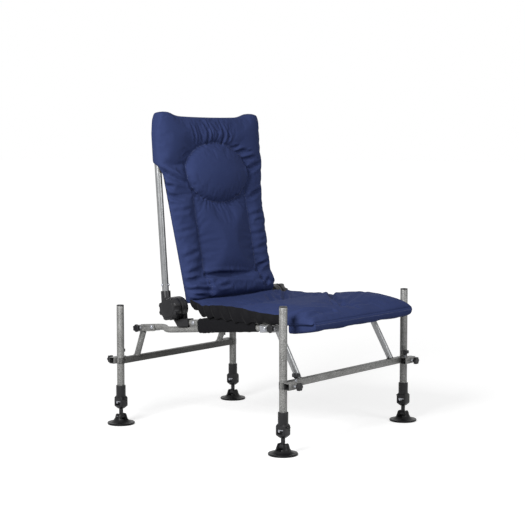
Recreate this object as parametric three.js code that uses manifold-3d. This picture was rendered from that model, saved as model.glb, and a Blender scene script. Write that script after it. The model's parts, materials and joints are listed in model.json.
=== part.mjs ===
// Carp fishing chair: a padded folding seat on two leg frames with four telescopic legs.
// Millimetres, +Z up, the front of the seat faces -Y, the origin is on the floor under the middle.
// The sitter's right-hand side is at -X.

import * as THREE from 'three';
import { mergeVertices } from 'three/addons/utils/BufferGeometryUtils.js';
import Module from 'manifold-3d';

const wasm = await Module();
wasm.setup();

// Where the legs stand
const frontTrack = 650;
const rearTrack = 572;
const legReach = 692;

// Clearances and the overrun of cutting shapes
const seatingGap = 0.3;
const runningGap = 0.4;
const overrun = 1;
const weldOverlap = 0.6;
const frameClearance = 3;

// Telescopic leg tube and its cap
const legDiameter = 24;
const legWall = 1.5;
const frontLegTop = 438;
const rearLegTop = 390;
const capThickness = 3;
const capPlugLength = 12;

// Quick-release foot: socket for the leg, latch box, stem and ball-jointed disc
const bootDiameter = 31;
const bootTop = 127;
const bootBottom = 95;
const latchBoxTop = 88;
const latchBoxBottom = 60;
const latchBoxWidth = 29;
const latchBoxDepth = 33;
const bootTaperBottom = 51;
const spigotDiameter = 10;
const latchWindowWidth = 22;
const latchWindowTop = 77;
const latchWindowBottom = 63;
const latchSlotTop = 86.4;
const latchSlotBottom = 81.6;
const latchThickness = 4;
const latchWidth = 14;
const springThickness = 1.5;
const springWidth = 12;
const springBottom = 66;
const springReach = 8.9;
const latchProud = 9;
const stemDiameter = 13;
const eyeDiameter = 19;
const eyeWidth = 17;
const padPivotHeight = 25;
const padDiameter = 89;
const padRimBottom = 2;
const padRimTop = 7;
const padSole = 74;
const padShoulder = 76;
const padShoulderHeight = 10.5;
const padConeDiameter = 48;
const padConeHeight = 20;
const padHubDiameter = 37;
const padHubHeight = 24;
const padHubTopDiameter = 29;
const padHubTop = 35;
const padPinDiameter = 5;

// Leg clamp with its accessory socket
const barSize = 20;
const barWall = 1.5;
const frontBarHeight = 206;
const rearBarHeight = 208;
const clampWall = 2.6;
const socketSize = 20;
const socketWall = 1.5;
const socketOutboard = 17;
const socketInboard = 41;
const accessoryKnobInboard = 30;
const heightKnobInboard = 8;
const heightKnobTip = 11.3;

// Small clamp knobs
const knobDiameter = 25;
const knobLobeDepth = 2.4;
const knobThickness = 9;
const knobHubDiameter = 13;
const knobHubLength = 4;
const screwDiameter = 6;
const accessoryScrewStandoff = 10;
const accessoryScrewTip = 8.8;
const heightScrewStandoff = 10;
const lockScrewStandoff = 12;

// Seat frame
const frameTube = 20;
const frameWall = 1.5;
const frameHalfWidth = 246;
const seatTilt = THREE.MathUtils.degToRad(5.4);
const sideTubeHeight = 335.5;
const sideTubeFront = -287;
const sideTubeRear = 322;
const rearStubHalfWidth = 212;
const rearStubRise = 6.5;
const bendStart = 182;
const bendEnd = 218;
const bendRadius = 58;
const seatTubeFront = -400;
const seatTubeDropStart = -325;
const seatTubeDrop = 15.5;
const seatTubeCorner = 58;

// Swing brackets on the leg frames
const bracketWall = 2.5;
const bracketHeight = 22;
const frontBracketInner = -207;
const frontBracketOuter = -291;
const frontPivot = -226;
const frontLock = -264;
const rearBracketInner = 255;
const rearBracketOuter = 327;
const rearPivot = 265;
const rearLock = 314;
const pivotPinDiameter = 6;
const pivotHeadDiameter = 12;
const pivotHeadHeight = 4;
const frontStrutTop = -269.5;
const rearStrutTop = 315;
const frontStrutFoot = 1;
const rearStrutFoot = -1;
const frontStrutHalfWidth = 248;
const rearStrutHalfWidth = 209;

// Reclining hinges
const hingeAlong = 131;
const seatTubeOffset = 48.5;
const backTubeOffset = 43.5;
const hingeDiscDiameter = 72;
const hingeWidth = 28;
const hingeBolt = 9;
const hingeNutDiameter = 18;
const hingeNutHeight = 7;
const casingFront = 54;
const casingRear = 6;
const neckFront = 30;
const armSocketDiameter = 31;
const armSocketBottom = 14;
const armSocketTop = 54;
const hingeSocketDepth = 26;
const starDiameter = 75;
const starNotchDiameter = 15;
const starDepth = 27;
const starCollarDiameter = 54;
const starCollarDepth = 5;
const starCapDiameter = 50;
const starCapHeight = 3;
const starLobes = 8;

// Backrest frame
const backTube = 22;
const backWall = 1.5;
const backTilt = THREE.MathUtils.degToRad(4.3);
const backTubeTop = 591;
const backCorner = 90;

// Sling under the seat mat
const clothThickness = 1.2;
const slingFront = -190;
const slingRear = 40;
const slingSeat = 0.4;

// Seat mat
const seatMatFront = -413;
const seatMatRear = 73;
const seatMatOverhang = 28;
const seatMatHalfWidth = frameHalfWidth + seatMatOverhang;
const seatRimRise = 44.5;
const seatPadding = 28;
const seatBolster = 6;
const seatRimThickness = 16;
const seatPocketDepth = 28;
const seatPocketRear = -333;
const tuftAlong = -322;
const tuftDepth = 9;
const tuftSpread = 26;
const creaseDepth = 5;
const creaseSpread = 17;
const creaseEndAlong = -105;
const matRearLiftStart = 10;
const matRearLiftShare = 0.52;
const seatPocketShare = 0.15;
const seatEdgeShare = 0.55;
const bolsterPlaceShare = 0.8;
const bolsterSpreadShare = 0.2;
const waistShare = 0.02;
const edgeSharpness = 8;

// Back mat with its hood and head pillow, measured from the hinge axis
const matHeight = 609;
const matReach = 73;
const matOverhang = 23;
const matHalfWidth = frameHalfWidth + matOverhang;
const backMatBottom = 170;
const matFrontDepth = 24;
const matBackDepth = 13;
const hoodBottom = 450;
const hoodBackDepth = 26;
const hoodEar = 11;
const hoodSag = 6;
const hoodEarShare = 0.88;
const hoodEarSpreadShare = 0.15;
const hoodStartShare = 0.7;
const hoodSharpness = 12;
const edgeFrontShare = 0.15;
const edgeBackShare = 0.6;
const hoodEdgeBackShare = 0.2;
const seamHalfWidth = 132;
const seamDepth = 11;
const seamSpread = 16;
const pillowHeight = 422;
const pillowHalfWidth = 150;
const pillowHalfHeight = 96;
const pillowDepth = 27;

// Lumbar pad, the part of the mat that gives when the back folds
const lumbarBottom = 12;
const lumbarFrontDepth = 34;
const lumbarBackDepth = 16;
const lumbarRollHeight = 45;
const lumbarRollDepth = 16;
const lumbarRollSpread = 30;

// How finely round things are faceted
const tubeSides = 12;
const smallSides = 8;
const discSides = 24;
const bendSteps = 5;
const knobSteps = 18;
const knobLobes = 6;
const weldTolerance = 0.0001;
const squareSides = 4;
const hexSides = 6;
const sleeveSteps = 6;
const seatMatSteps = [16, 20, 2];
const backMatSteps = [18, 20, 2];
const lumbarSteps = [14, 8, 2];

const sides = [
  { name: 'right', x: -1 },
  { name: 'left', x: 1 },
];
const ends = [
  { name: 'front', y: -1, track: frontTrack, legTop: frontLegTop, barHeight: frontBarHeight },
  { name: 'rear', y: 1, track: rearTrack, legTop: rearLegTop, barHeight: rearBarHeight },
];

// Finishes
const hammered = { color: 0x8f9293, roughness: 0.5, metalness: 0.7 };
const bright = { color: 0xc6cbcd, roughness: 0.3, metalness: 0.9 };
const zinc = { color: 0xb9bcbb, roughness: 0.35, metalness: 0.9 };
const charcoal = { color: 0x2b2c30, roughness: 0.55, metalness: 0 };
const navy = { color: 0x36416a, roughness: 0.8, metalness: 0 };
const blackCloth = { color: 0x17171a, roughness: 0.9, metalness: 0 };

function piece(name, geometry, finish) {
  const mesh = new THREE.Mesh(geometry, new THREE.MeshStandardMaterial(finish));
  mesh.name = name;
  return mesh;
}

// Closed meshes as solids, for the cuts and joins
function toSolid(geometry) {
  const bare = geometry.clone();
  bare.deleteAttribute('normal');
  bare.deleteAttribute('uv');
  const merged = mergeVertices(bare, weldTolerance);
  const corners = merged.index.array;
  const kept = [];
  for (let i = 0; i < corners.length; i += 3) {
    const [a, b, c] = [corners[i], corners[i + 1], corners[i + 2]];
    if (a !== b && b !== c && c !== a) kept.push(a, b, c);
  }
  const vertProperties = new Float32Array(merged.attributes.position.array);
  return new wasm.Manifold(new wasm.Mesh({ numProp: 3, vertProperties, triVerts: new Uint32Array(kept) }));
}

function fromSolid(solid) {
  const mesh = solid.getMesh();
  const geometry = new THREE.BufferGeometry();
  geometry.setAttribute('position', new THREE.BufferAttribute(new Float32Array(mesh.vertProperties), 3));
  geometry.setIndex(new THREE.BufferAttribute(new Uint32Array(mesh.triVerts), 1));
  geometry.computeVertexNormals();
  return geometry;
}

function join(...geometries) {
  return fromSolid(geometries.map(toSolid).reduce((whole, next) => whole.add(next)));
}

function cut(body, ...tools) {
  return fromSolid(tools.map(toSolid).reduce((whole, next) => whole.subtract(next), toSolid(body)));
}

// Turns a shape inside out where its volume comes out negative
function outward(geometry) {
  const shape = geometry.index ? geometry : mergeVertices(geometry);
  const points = shape.attributes.position;
  const corners = shape.index.array;
  const [a, b, c] = [new THREE.Vector3(), new THREE.Vector3(), new THREE.Vector3()];
  let volume = 0;
  for (let i = 0; i < corners.length; i += 3) {
    a.fromBufferAttribute(points, corners[i]);
    b.fromBufferAttribute(points, corners[i + 1]);
    c.fromBufferAttribute(points, corners[i + 2]);
    volume += a.dot(b.cross(c));
  }
  if (volume < 0) {
    for (let i = 0; i < corners.length; i += 3) {
      [corners[i], corners[i + 1]] = [corners[i + 1], corners[i]];
    }
    shape.computeVertexNormals();
  }
  return shape;
}

function mirrored(geometry, acrossX, acrossY) {
  return outward(geometry.clone().scale(acrossX, acrossY, 1));
}

function moved(geometry, x, y, z) {
  return geometry.clone().translate(x, y, z);
}

function box(x, y, z) {
  return new THREE.BoxGeometry(x, y, z);
}

// A box between two corners
function block(low, high) {
  const [width, depth, height] = [high[0] - low[0], high[1] - low[1], high[2] - low[2]];
  return moved(box(width, depth, height), low[0] + width / 2, low[1] + depth / 2, low[2] + height / 2);
}

// A regular outline whose flats face the axes
function outline(radius, count) {
  const points = [];
  for (let i = 0; i < count; i += 1) {
    const angle = ((i + 1 / 2) / count) * 2 * Math.PI;
    points.push(new THREE.Vector2(radius * Math.cos(angle), radius * Math.sin(angle)));
  }
  return points;
}

function extruded(points, length, holes = []) {
  const shape = new THREE.Shape(points);
  shape.holes = holes.map((hole) => new THREE.Path(hole));
  return outward(new THREE.ExtrudeGeometry(shape, { depth: length, bevelEnabled: false }));
}

// The size of a faceted hole in which a faceted bar turns freely
function boreFor(diameter, count = smallSides) {
  return diameter / Math.cos(Math.PI / count) + 2 * runningGap;
}

// A bar of regular section from one height to another
function rod(diameter, bottom, top, count = smallSides) {
  return moved(extruded(outline(diameter / 2, count), top - bottom), 0, 0, bottom);
}

// The same bar laid along X or Y, between two places on that axis
function rodAlongX(diameter, from, to, count = smallSides) {
  return rod(diameter, from, to, count).rotateY(Math.PI / 2);
}

function rodAlongY(diameter, from, to, count = smallSides) {
  return rod(diameter, from, to, count).rotateX(-Math.PI / 2);
}

function turnedProfile(points, count) {
  const profile = points.map(([r, z]) => new THREE.Vector2(r, z));
  return outward(new THREE.LatheGeometry(profile, count).rotateX(Math.PI / 2));
}

// A route of straight runs with round bends, one section at each end of a run and a few in each bend
class Route extends THREE.Curve {
  constructor(corners, radius) {
    super();
    this.knots = [];
    const last = corners.length - 1;
    corners.forEach((corner, i) => {
      if (i === 0 || i === last) {
        const next = i === 0 ? corners[1] : corner;
        const before = i === 0 ? corner : corners[last - 1];
        this.knots.push({ point: corner, tangent: next.clone().sub(before).normalize() });
        return;
      }
      const before = corner.clone().sub(corners[i - 1]).normalize();
      const after = corners[i + 1].clone().sub(corner).normalize();
      const turn = before.angleTo(after);
      const run = radius[i - 1] * Math.tan(turn / 2);
      const start = corner.clone().addScaledVector(before, -run);
      const inside = after.clone().addScaledVector(before, -after.dot(before)).normalize();
      const steps = Math.max(2, Math.round((bendSteps * turn) / (Math.PI / 2)));
      for (let k = 0; k <= steps; k += 1) {
        const angle = (turn * k) / steps;
        const point = start.clone().addScaledVector(before, radius[i - 1] * Math.sin(angle));
        point.addScaledVector(inside, radius[i - 1] * (1 - Math.cos(angle)));
        const tangent = before.clone().multiplyScalar(Math.cos(angle));
        tangent.addScaledVector(inside, Math.sin(angle));
        this.knots.push({ point, tangent });
      }
    });
  }

  get steps() {
    return this.knots.length - 1;
  }

  getPoint(share, target = new THREE.Vector3()) {
    return target.copy(this.knots[Math.round(share * this.steps)].point);
  }

  getPointAt(share, target) {
    return this.getPoint(share, target);
  }

  getTangentAt(share, target = new THREE.Vector3()) {
    return target.copy(this.knots[Math.round(share * this.steps)].tangent);
  }
}

// A tube along a route, hollow where it has a wall
function tube(route, diameter, wall = 0, count = tubeSides) {
  const shape = new THREE.Shape(outline(diameter / 2, count));
  if (wall > 0) shape.holes.push(new THREE.Path(outline(diameter / 2 - wall, count)));
  return outward(new THREE.ExtrudeGeometry(shape, { steps: route.steps, extrudePath: route }));
}

const point = (x, y, z) => new THREE.Vector3(x, y, z);
const mix = (from, to, share) => from + (to - from) * share;
const dent = (distance, spread) => Math.exp(-((distance / spread) ** 2));

// Reads a table of rows by its first column, straight between the rows
function tableAt(rows, at) {
  const next = rows.findIndex((row) => row[0] >= at);
  if (next < 0) return rows[rows.length - 1].slice(1);
  if (next === 0) return rows[0].slice(1);
  const [low, high] = [rows[next - 1], rows[next]];
  const share = (at - low[0]) / (high[0] - low[0]);
  return high.slice(1).map((value, i) => mix(low[i + 1], value, share));
}

// A stuffed form: a unit block whose points are put in place by a rule.
// Its columns stand closer together near the sides.
function stuffed(acrossSteps, alongSteps, throughSteps, place) {
  const form = mergeVertices(new THREE.BoxGeometry(2, 2, 2, acrossSteps, alongSteps, throughSteps)
    .deleteAttribute('normal').deleteAttribute('uv'), weldTolerance);
  const points = form.attributes.position;
  for (let i = 0; i < points.count; i += 1) {
    const across = Math.sin((points.getX(i) * Math.PI) / 2);
    points.setXYZ(i, ...place(across, points.getY(i), (points.getZ(i) + 1) / 2));
  }
  return outward(form);
}

const screwBore = boreFor(screwDiameter);

// Small knob with round lobes, its screw standing out of it; the screw's tip is at zero, pointing down
function clampKnob(screwLength) {
  const lobes = [];
  for (let i = 0; i < knobSteps; i += 1) {
    const angle = (i / knobSteps) * 2 * Math.PI;
    const radius = knobDiameter / 2 - (knobLobeDepth / 2) * (1 - Math.cos(angle * knobLobes));
    lobes.push(new THREE.Vector2(radius * Math.cos(angle), radius * Math.sin(angle)));
  }
  const grip = moved(extruded(lobes, knobThickness), 0, 0, screwLength + knobHubLength);
  const hub = rod(knobHubDiameter, screwLength, screwLength + knobHubLength + weldOverlap);
  return join(grip, hub, rod(screwDiameter, 0, screwLength + weldOverlap));
}


// One leg clamp, for inboard at +X and outward at +Y, centred on its leg at the height of the bar
const clampBore = boreFor(legDiameter, tubeSides);
const clampDiameter = clampBore + 2 * clampWall;
const socketMiddle = clampDiameter / 2 + socketSize / 2 - weldOverlap;

function legClamp() {
  const ring = rod(clampDiameter, -barSize / 2, barSize / 2, tubeSides);
  const socket = block(
    [-socketOutboard, socketMiddle - socketSize / 2, -socketSize / 2],
    [socketInboard, socketMiddle + socketSize / 2, socketSize / 2],
  );
  const hollow = block(
    [-socketOutboard - overrun, socketMiddle - socketSize / 2 + socketWall, -socketSize / 2 + socketWall],
    [socketInboard + overrun, socketMiddle + socketSize / 2 - socketWall, socketSize / 2 - socketWall],
  );
  const legBore = rod(clampBore, -barSize, barSize, tubeSides);
  const heightBore = moved(rodAlongY(screwBore, 0, socketMiddle + socketSize), heightKnobInboard, 0, 0);
  const accessoryBore = moved(rod(screwBore, 0, socketSize), accessoryKnobInboard, socketMiddle, 0);
  return cut(join(ring, socket), hollow, legBore, heightBore, accessoryBore);
}

// Foot housing: a socket for the leg over a latch box with a window on two sides
function footHousing() {
  const boot = rod(bootDiameter, latchBoxTop - weldOverlap, bootTop, tubeSides);
  const flareHeight = bootBottom - latchBoxTop;
  const flareFoot = latchBoxDepth / Math.SQRT2;
  const flare = new THREE.CylinderGeometry(bootDiameter / 2, flareFoot, flareHeight, squareSides)
    .rotateY(Math.PI / 4).rotateX(Math.PI / 2)
    .scale(latchBoxWidth / latchBoxDepth, 1, 1)
    .translate(0, 0, (bootBottom + latchBoxTop) / 2);
  const latchBox = block(
    [-latchBoxWidth / 2, -latchBoxDepth / 2, latchBoxBottom],
    [latchBoxWidth / 2, latchBoxDepth / 2, latchBoxTop + weldOverlap],
  );
  const taperHeight = latchBoxBottom - bootTaperBottom;
  const taperTop = latchBoxWidth / Math.SQRT2;
  const taper = new THREE.CylinderGeometry(taperTop, stemDiameter / 2, taperHeight, squareSides)
    .rotateY(Math.PI / 4).rotateX(Math.PI / 2)
    .translate(0, 0, (latchBoxBottom + bootTaperBottom) / 2 + weldOverlap);
  const legSocket = rod(legDiameter + 2 * runningGap, bootBottom, bootTop + overrun, tubeSides);
  const spigotBore = rod(boreFor(spigotDiameter), bootTaperBottom - overrun, bootBottom + overrun);
  const window = block(
    [-latchBoxWidth, -latchWindowWidth / 2, latchWindowBottom],
    [latchBoxWidth, latchWindowWidth / 2, latchWindowTop],
  );
  const slot = block(
    [-latchWidth / 2 - runningGap, -latchBoxDepth, latchSlotBottom],
    [latchWidth / 2 + runningGap, 0, latchSlotTop],
  );
  const springChannel = block(
    [-springWidth / 2 - runningGap, -springReach - springThickness - runningGap, latchWindowBottom],
    [springWidth / 2 + runningGap, 0, latchSlotTop],
  );
  return cut(join(boot, flare, latchBox, taper), legSocket, spigotBore, window, slot, springChannel);
}

// Sprung latch tab, with the spring leaf that hangs from it into the window
function footLatch() {
  const middle = (latchSlotTop + latchSlotBottom) / 2;
  const strip = block(
    [-latchWidth / 2, -latchBoxDepth / 2 - latchProud, middle - latchThickness / 2],
    [latchWidth / 2, -springReach, middle + latchThickness / 2],
  );
  const leaf = block(
    [-springWidth / 2, -springReach - springThickness, springBottom],
    [springWidth / 2, -springReach, middle],
  );
  return join(strip, leaf);
}

// Stem with its eye for the pad's pin, and the spigot that the latch holds
function footStem() {
  const spigot = rod(spigotDiameter, bootTaperBottom - weldOverlap, bootBottom - seatingGap);
  const stem = rod(stemDiameter, padPivotHeight, bootTaperBottom - seatingGap);
  const eye = moved(rodAlongY(eyeDiameter, -eyeWidth / 2, eyeWidth / 2, tubeSides), 0, 0, padPivotHeight);
  const bore = moved(rodAlongY(boreFor(padPinDiameter), -eyeWidth, eyeWidth), 0, 0, padPivotHeight);
  return cut(join(spigot, stem, eye), bore);
}

// Wide foot disc with two ears and the pin through them
function footPad() {
  const disc = turnedProfile([
    [0, 0], [padSole / 2, 0], [padDiameter / 2, padRimBottom], [padDiameter / 2, padRimTop],
    [padShoulder / 2, padShoulderHeight], [padConeDiameter / 2, padConeHeight],
    [padHubDiameter / 2, padHubHeight], [padHubTopDiameter / 2, padHubTop], [0, padHubTop],
  ], discSides);
  const slotHalf = eyeWidth / 2 + runningGap;
  const slot = block(
    [-padDiameter, -slotHalf, padPivotHeight - eyeDiameter / 2 - runningGap],
    [padDiameter, slotHalf, padHubTop + overrun],
  );
  const pinHalf = slotHalf + overrun;
  const pin = moved(rodAlongY(padPinDiameter, -pinHalf, pinHalf), 0, 0, padPivotHeight);
  return join(cut(disc, slot), pin);
}

// Legs: the same parts at four corners, each standing on its own foot
const clampGeometry = legClamp();
const housingGeometry = footHousing();
const latchGeometry = footLatch();
const stemGeometry = footStem();
const padGeometry = footPad();
const heightScrewLength = socketMiddle + socketSize / 2 - heightKnobTip + heightScrewStandoff;
const accessoryScrewLength = socketSize / 2 - accessoryScrewTip + accessoryScrewStandoff;
const heightKnobGeometry = clampKnob(heightScrewLength);
const accessoryKnobGeometry = clampKnob(accessoryScrewLength);

function makeLeg(side, end, housingTurn, padTurn) {
  const leg = new THREE.Group();
  const place = `${end.name}_${side.name}`;
  leg.position.set((side.x * end.track) / 2, (end.y * legReach) / 2, 0);
  const bottom = bootBottom + seatingGap;
  const top = end.legTop - capThickness - seatingGap;
  const legTube = tube(new Route([point(0, 0, bottom), point(0, 0, top)], []), legDiameter, legWall);
  const cap = turnedProfile([
    [0, top - capPlugLength], [legDiameter / 2 - legWall - runningGap, top - capPlugLength],
    [legDiameter / 2 - legWall - runningGap, top + seatingGap], [legDiameter / 2, top + seatingGap],
    [legDiameter / 2, end.legTop], [0, end.legTop],
  ], tubeSides);
  leg.add(piece(`leg_tube_${place}`, legTube, hammered), piece(`leg_cap_${place}`, cap, charcoal));
  const foot = new THREE.Group();
  foot.rotation.z = housingTurn;
  foot.add(piece(`foot_housing_${place}`, housingGeometry, charcoal));
  foot.add(piece(`foot_latch_${place}`, latchGeometry, zinc));
  const ball = new THREE.Group();
  ball.rotation.z = padTurn;
  ball.add(piece(`foot_stem_${place}`, stemGeometry, charcoal));
  ball.add(piece(`foot_pad_${place}`, padGeometry, charcoal));
  leg.add(foot, ball);

  const clamp = new THREE.Group();
  clamp.position.z = end.barHeight;
  clamp.add(piece(`leg_clamp_${place}`, mirrored(clampGeometry, -side.x, end.y), hammered));
  const heightKnob = piece(`height_knob_${place}`, heightKnobGeometry, charcoal);
  heightKnob.rotation.x = (-end.y * Math.PI) / 2;
  heightKnob.position.set(-side.x * heightKnobInboard, end.y * heightKnobTip, 0);
  const accessoryKnob = piece(`accessory_knob_${place}`, accessoryKnobGeometry, charcoal);
  accessoryKnob.position.set(-side.x * accessoryKnobInboard, end.y * socketMiddle, accessoryScrewTip);
  clamp.add(heightKnob, accessoryKnob);
  leg.add(clamp);
  return leg;
}

// Seat frame, drawn level and then tipped up at the front by the seat's tilt
const seatTubeRise = frameTube + runningGap;
const hingeRise = seatTubeRise + seatTubeOffset;

function sideTubeRoute(x) {
  return new Route([
    point(x * frameHalfWidth, sideTubeFront, 0),
    point(x * frameHalfWidth, bendStart, 0),
    point(x * rearStubHalfWidth, bendEnd, rearStubRise),
    point(x * rearStubHalfWidth, sideTubeRear, rearStubRise),
  ], [bendRadius, bendRadius]);
}

function seatTubeRoute() {
  const rear = hingeAlong - casingFront + hingeSocketDepth;
  const high = seatTubeRise;
  const low = seatTubeRise - seatTubeDrop;
  return new Route([
    point(-frameHalfWidth, rear, high), point(-frameHalfWidth, seatTubeDropStart, high),
    point(-frameHalfWidth, seatTubeFront, low), point(frameHalfWidth, seatTubeFront, low),
    point(frameHalfWidth, seatTubeDropStart, high), point(frameHalfWidth, rear, high),
  ], [seatTubeCorner, seatTubeCorner, seatTubeCorner, seatTubeCorner]);
}

function sideTube(x) {
  const long = tube(sideTubeRoute(x), frameTube, frameWall);
  const pinBore = boreFor(pivotPinDiameter);
  const reach = frameHalfWidth + frameTube;
  const frontBore = moved(rodAlongX(pinBore, rearStubHalfWidth / 2, reach), 0, frontPivot, 0);
  const rearBore = moved(rodAlongX(pinBore, rearStubHalfWidth / 2, reach), 0, rearPivot, rearStubRise);
  return cut(long, mirrored(frontBore, x, 1), mirrored(rearBore, x, 1));
}

// Lower hinge casting, a disc over a foot that grips the end of the seat tube, drawn for +X
const halfHinge = hingeWidth / 2;
const hingeDisc = rodAlongX(hingeDiscDiameter, -halfHinge, halfHinge, discSides);
const boltBore = rodAlongX(boreFor(hingeBolt), -hingeWidth, hingeWidth);

function hingeBase() {
  const footBottom = -seatTubeOffset - seatTubeRise + frameTube / 2 + seatingGap;
  const footTop = -seatTubeOffset + frameTube / 2 + frameWall * 2;
  const foot = block([-halfHinge, -casingFront, footBottom], [halfHinge, casingRear, footTop]);
  const neck = block([-halfHinge, -neckFront, footTop - weldOverlap], [0, casingRear, 0]);
  const cheek = rodAlongX(boreFor(hingeDiscDiameter, discSides), 0, hingeWidth, discSides);
  const tubeBore = moved(rodAlongY(
    frameTube / Math.cos(Math.PI / tubeSides) + 2 * seatingGap,
    -casingFront - overrun, hingeSocketDepth - casingFront + seatingGap, tubeSides,
  ), 0, 0, -seatTubeOffset);
  return cut(join(hingeDisc, neck, foot), moved(cheek, -runningGap / 2, 0, 0), tubeBore, boltBore);
}

// Upper hinge casting, a disc beside the socket of the back tube, drawn for +X
function hingeArm() {
  const socket = rod(armSocketDiameter, armSocketBottom, armSocketTop, tubeSides);
  const web = block([runningGap, 0, 0], [halfHinge, backTubeOffset, armSocketTop / 2]);
  const cheek = rodAlongX(boreFor(hingeDiscDiameter, discSides), -hingeWidth, 0, discSides);
  const tubeBore = moved(rod(
    backTube / Math.cos(Math.PI / tubeSides) + 2 * seatingGap,
    armSocketTop - hingeSocketDepth - seatingGap, armSocketTop + overrun, tubeSides,
  ), 0, backTubeOffset, 0);
  const body = join(hingeDisc, web, moved(socket, 0, backTubeOffset, 0));
  return cut(body, moved(cheek, runningGap / 2, 0, 0), tubeBore, boltBore);
}

// Star knob on the hinge bolt, drawn for +X with the hinge's middle at zero
function starKnob() {
  const start = halfHinge + seatingGap;
  const gripStart = start + starCollarDepth;
  const grip = rodAlongX(starDiameter, gripStart, gripStart + starDepth, discSides);
  const collar = rodAlongX(starCollarDiameter, start, gripStart + weldOverlap, discSides);
  const capStart = gripStart + starDepth - weldOverlap;
  const cap = rodAlongX(starCapDiameter, capStart, capStart + starCapHeight, discSides);
  const bolt = rodAlongX(hingeBolt, -halfHinge - seatingGap - weldOverlap, start + weldOverlap);
  const nutStart = -halfHinge - seatingGap;
  const nut = rodAlongX(hingeNutDiameter, nutStart - hingeNutHeight, nutStart, hexSides);
  const notches = [];
  for (let i = 0; i < starLobes; i += 1) {
    const notch = rodAlongX(starNotchDiameter, start, capStart + starDepth, smallSides);
    notches.push(moved(notch, 0, starDiameter / 2, 0).rotateX((i / starLobes) * 2 * Math.PI));
  }
  return join(cut(grip, ...notches), collar, cap, bolt, nut);
}

// Leg frame strut: a leaning tube welded under a channel that swings on the side tube's end.
// Drawn in the seat's tilted frame for +X; the foot is the point where the tube meets the bar.
function swingStrut(end, foot) {
  const front = end.y < 0;
  const x = front ? frameHalfWidth : rearStubHalfWidth;
  const rise = front ? 0 : rearStubRise;
  const pivot = front ? frontPivot : rearPivot;
  const lock = front ? frontLock : rearLock;
  const inner = front ? frontBracketInner : rearBracketInner;
  const outer = front ? frontBracketOuter : rearBracketOuter;
  const inside = frameTube / 2 + runningGap;
  const outside = inside + bracketWall;
  const bottom = rise - outside;
  const [low, high] = [Math.min(inner, outer), Math.max(inner, outer)];
  const channel = block([x - outside, low, bottom], [x + outside, high, bottom + bracketHeight]);
  const hollow = block(
    [x - inside, low - overrun, rise - inside],
    [x + inside, high + overrun, bottom + 2 * bracketHeight],
  );
  const webEnd = pivot + end.y * pivotPinDiameter;
  const openWeb = block(
    [x - inside, Math.min(inner, webEnd) - (front ? 0 : overrun), bottom - overrun],
    [x + inside, Math.max(inner, webEnd) + (front ? overrun : 0), rise],
  );
  const topPoint = point(x, front ? frontStrutTop : rearStrutTop, bottom + bracketWall / 2);
  const strut = tube(new Route([foot, topPoint], []), frameTube);
  const along = topPoint.clone().sub(foot).normalize();
  const borePoints = [
    foot.clone().addScaledVector(along, -overrun),
    foot.clone().addScaledVector(along, topPoint.distanceTo(foot) - frameTube),
  ];
  const strutBore = tube(new Route(borePoints, []), frameTube - 2 * frameWall);
  const reach = outside + pivotHeadHeight;
  const pin = moved(rodAlongX(pivotPinDiameter, x - reach, x + reach), 0, pivot, rise);
  const headLength = pivotHeadHeight + weldOverlap;
  const heads = [x - reach, x + outside - weldOverlap].map((start) => (
    moved(rodAlongX(pivotHeadDiameter, start, start + headLength, hexSides), 0, pivot, rise)
  ));
  const lockBore = moved(rodAlongX(screwBore, x, x + outside + overrun), 0, lock, rise);
  const barTop = front ? frontBarHeight : rearBarHeight;
  const body = cut(join(channel, strut), hollow, openWeb, strutBore, lockBore);
  return { geometry: join(body, pin, ...heads), barTop, lock, rise, x, outside };
}

// Sling: black cloth with a sleeve round both tubes at each side and a sheet between them
function seatSling() {
  const inner = frameTube / 2 + slingSeat;
  const outer = inner + clothThickness;
  const sleeve = (x, radius) => {
    const points = [];
    for (let i = 0; i <= sleeveSteps; i += 1) {
      const angle = (i / sleeveSteps) * Math.PI;
      points.push(new THREE.Vector2(x + radius * Math.cos(angle), seatTubeRise + radius * Math.sin(angle)));
    }
    for (let i = 0; i <= sleeveSteps; i += 1) {
      const angle = (1 + i / sleeveSteps) * Math.PI;
      points.push(new THREE.Vector2(x + radius * Math.cos(angle), radius * Math.sin(angle)));
    }
    return points;
  };
  const length = slingRear - slingFront;
  const sheetTop = seatTubeRise + outer;
  const loops = [-1, 1].map((x) => extruded(sleeve(x * frameHalfWidth, outer), length));
  const bores = [-1, 1].map((x) => {
    const bore = extruded(sleeve(x * frameHalfWidth, inner), length + 2 * overrun);
    return moved(bore, 0, 0, -overrun);
  });
  const sheet = block([-frameHalfWidth, sheetTop - clothThickness, 0], [frameHalfWidth, sheetTop, length]);
  return cut(join(...loops, sheet), ...bores).rotateX(Math.PI / 2).translate(0, slingRear, 0);
}

// Height of the side tube's axis at a place along the seat, in the standing frame
const sideTubeAt = (along) => sideTubeHeight - Math.tan(seatTilt) * along;
const slingTop = seatTubeRise + frameTube / 2 + slingSeat + clothThickness;

// Side outline of the seat mat: along share, width share, crown share, and its drawn-in waist
const seatOutlineShares = [
  [0, 1, 0], [0.025, 1, 0.6], [0.08, 0.985, 1.0], [0.15, 0.97, 1.2], [0.26, 0.96, 1.3], [0.48, 0.955, 1.12],
  [0.64, 0.95, 1.05], [0.85, 0.94, 0.95], [0.93, 0.9, 0.9], [1, 0.8, 1.1],
];

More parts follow.
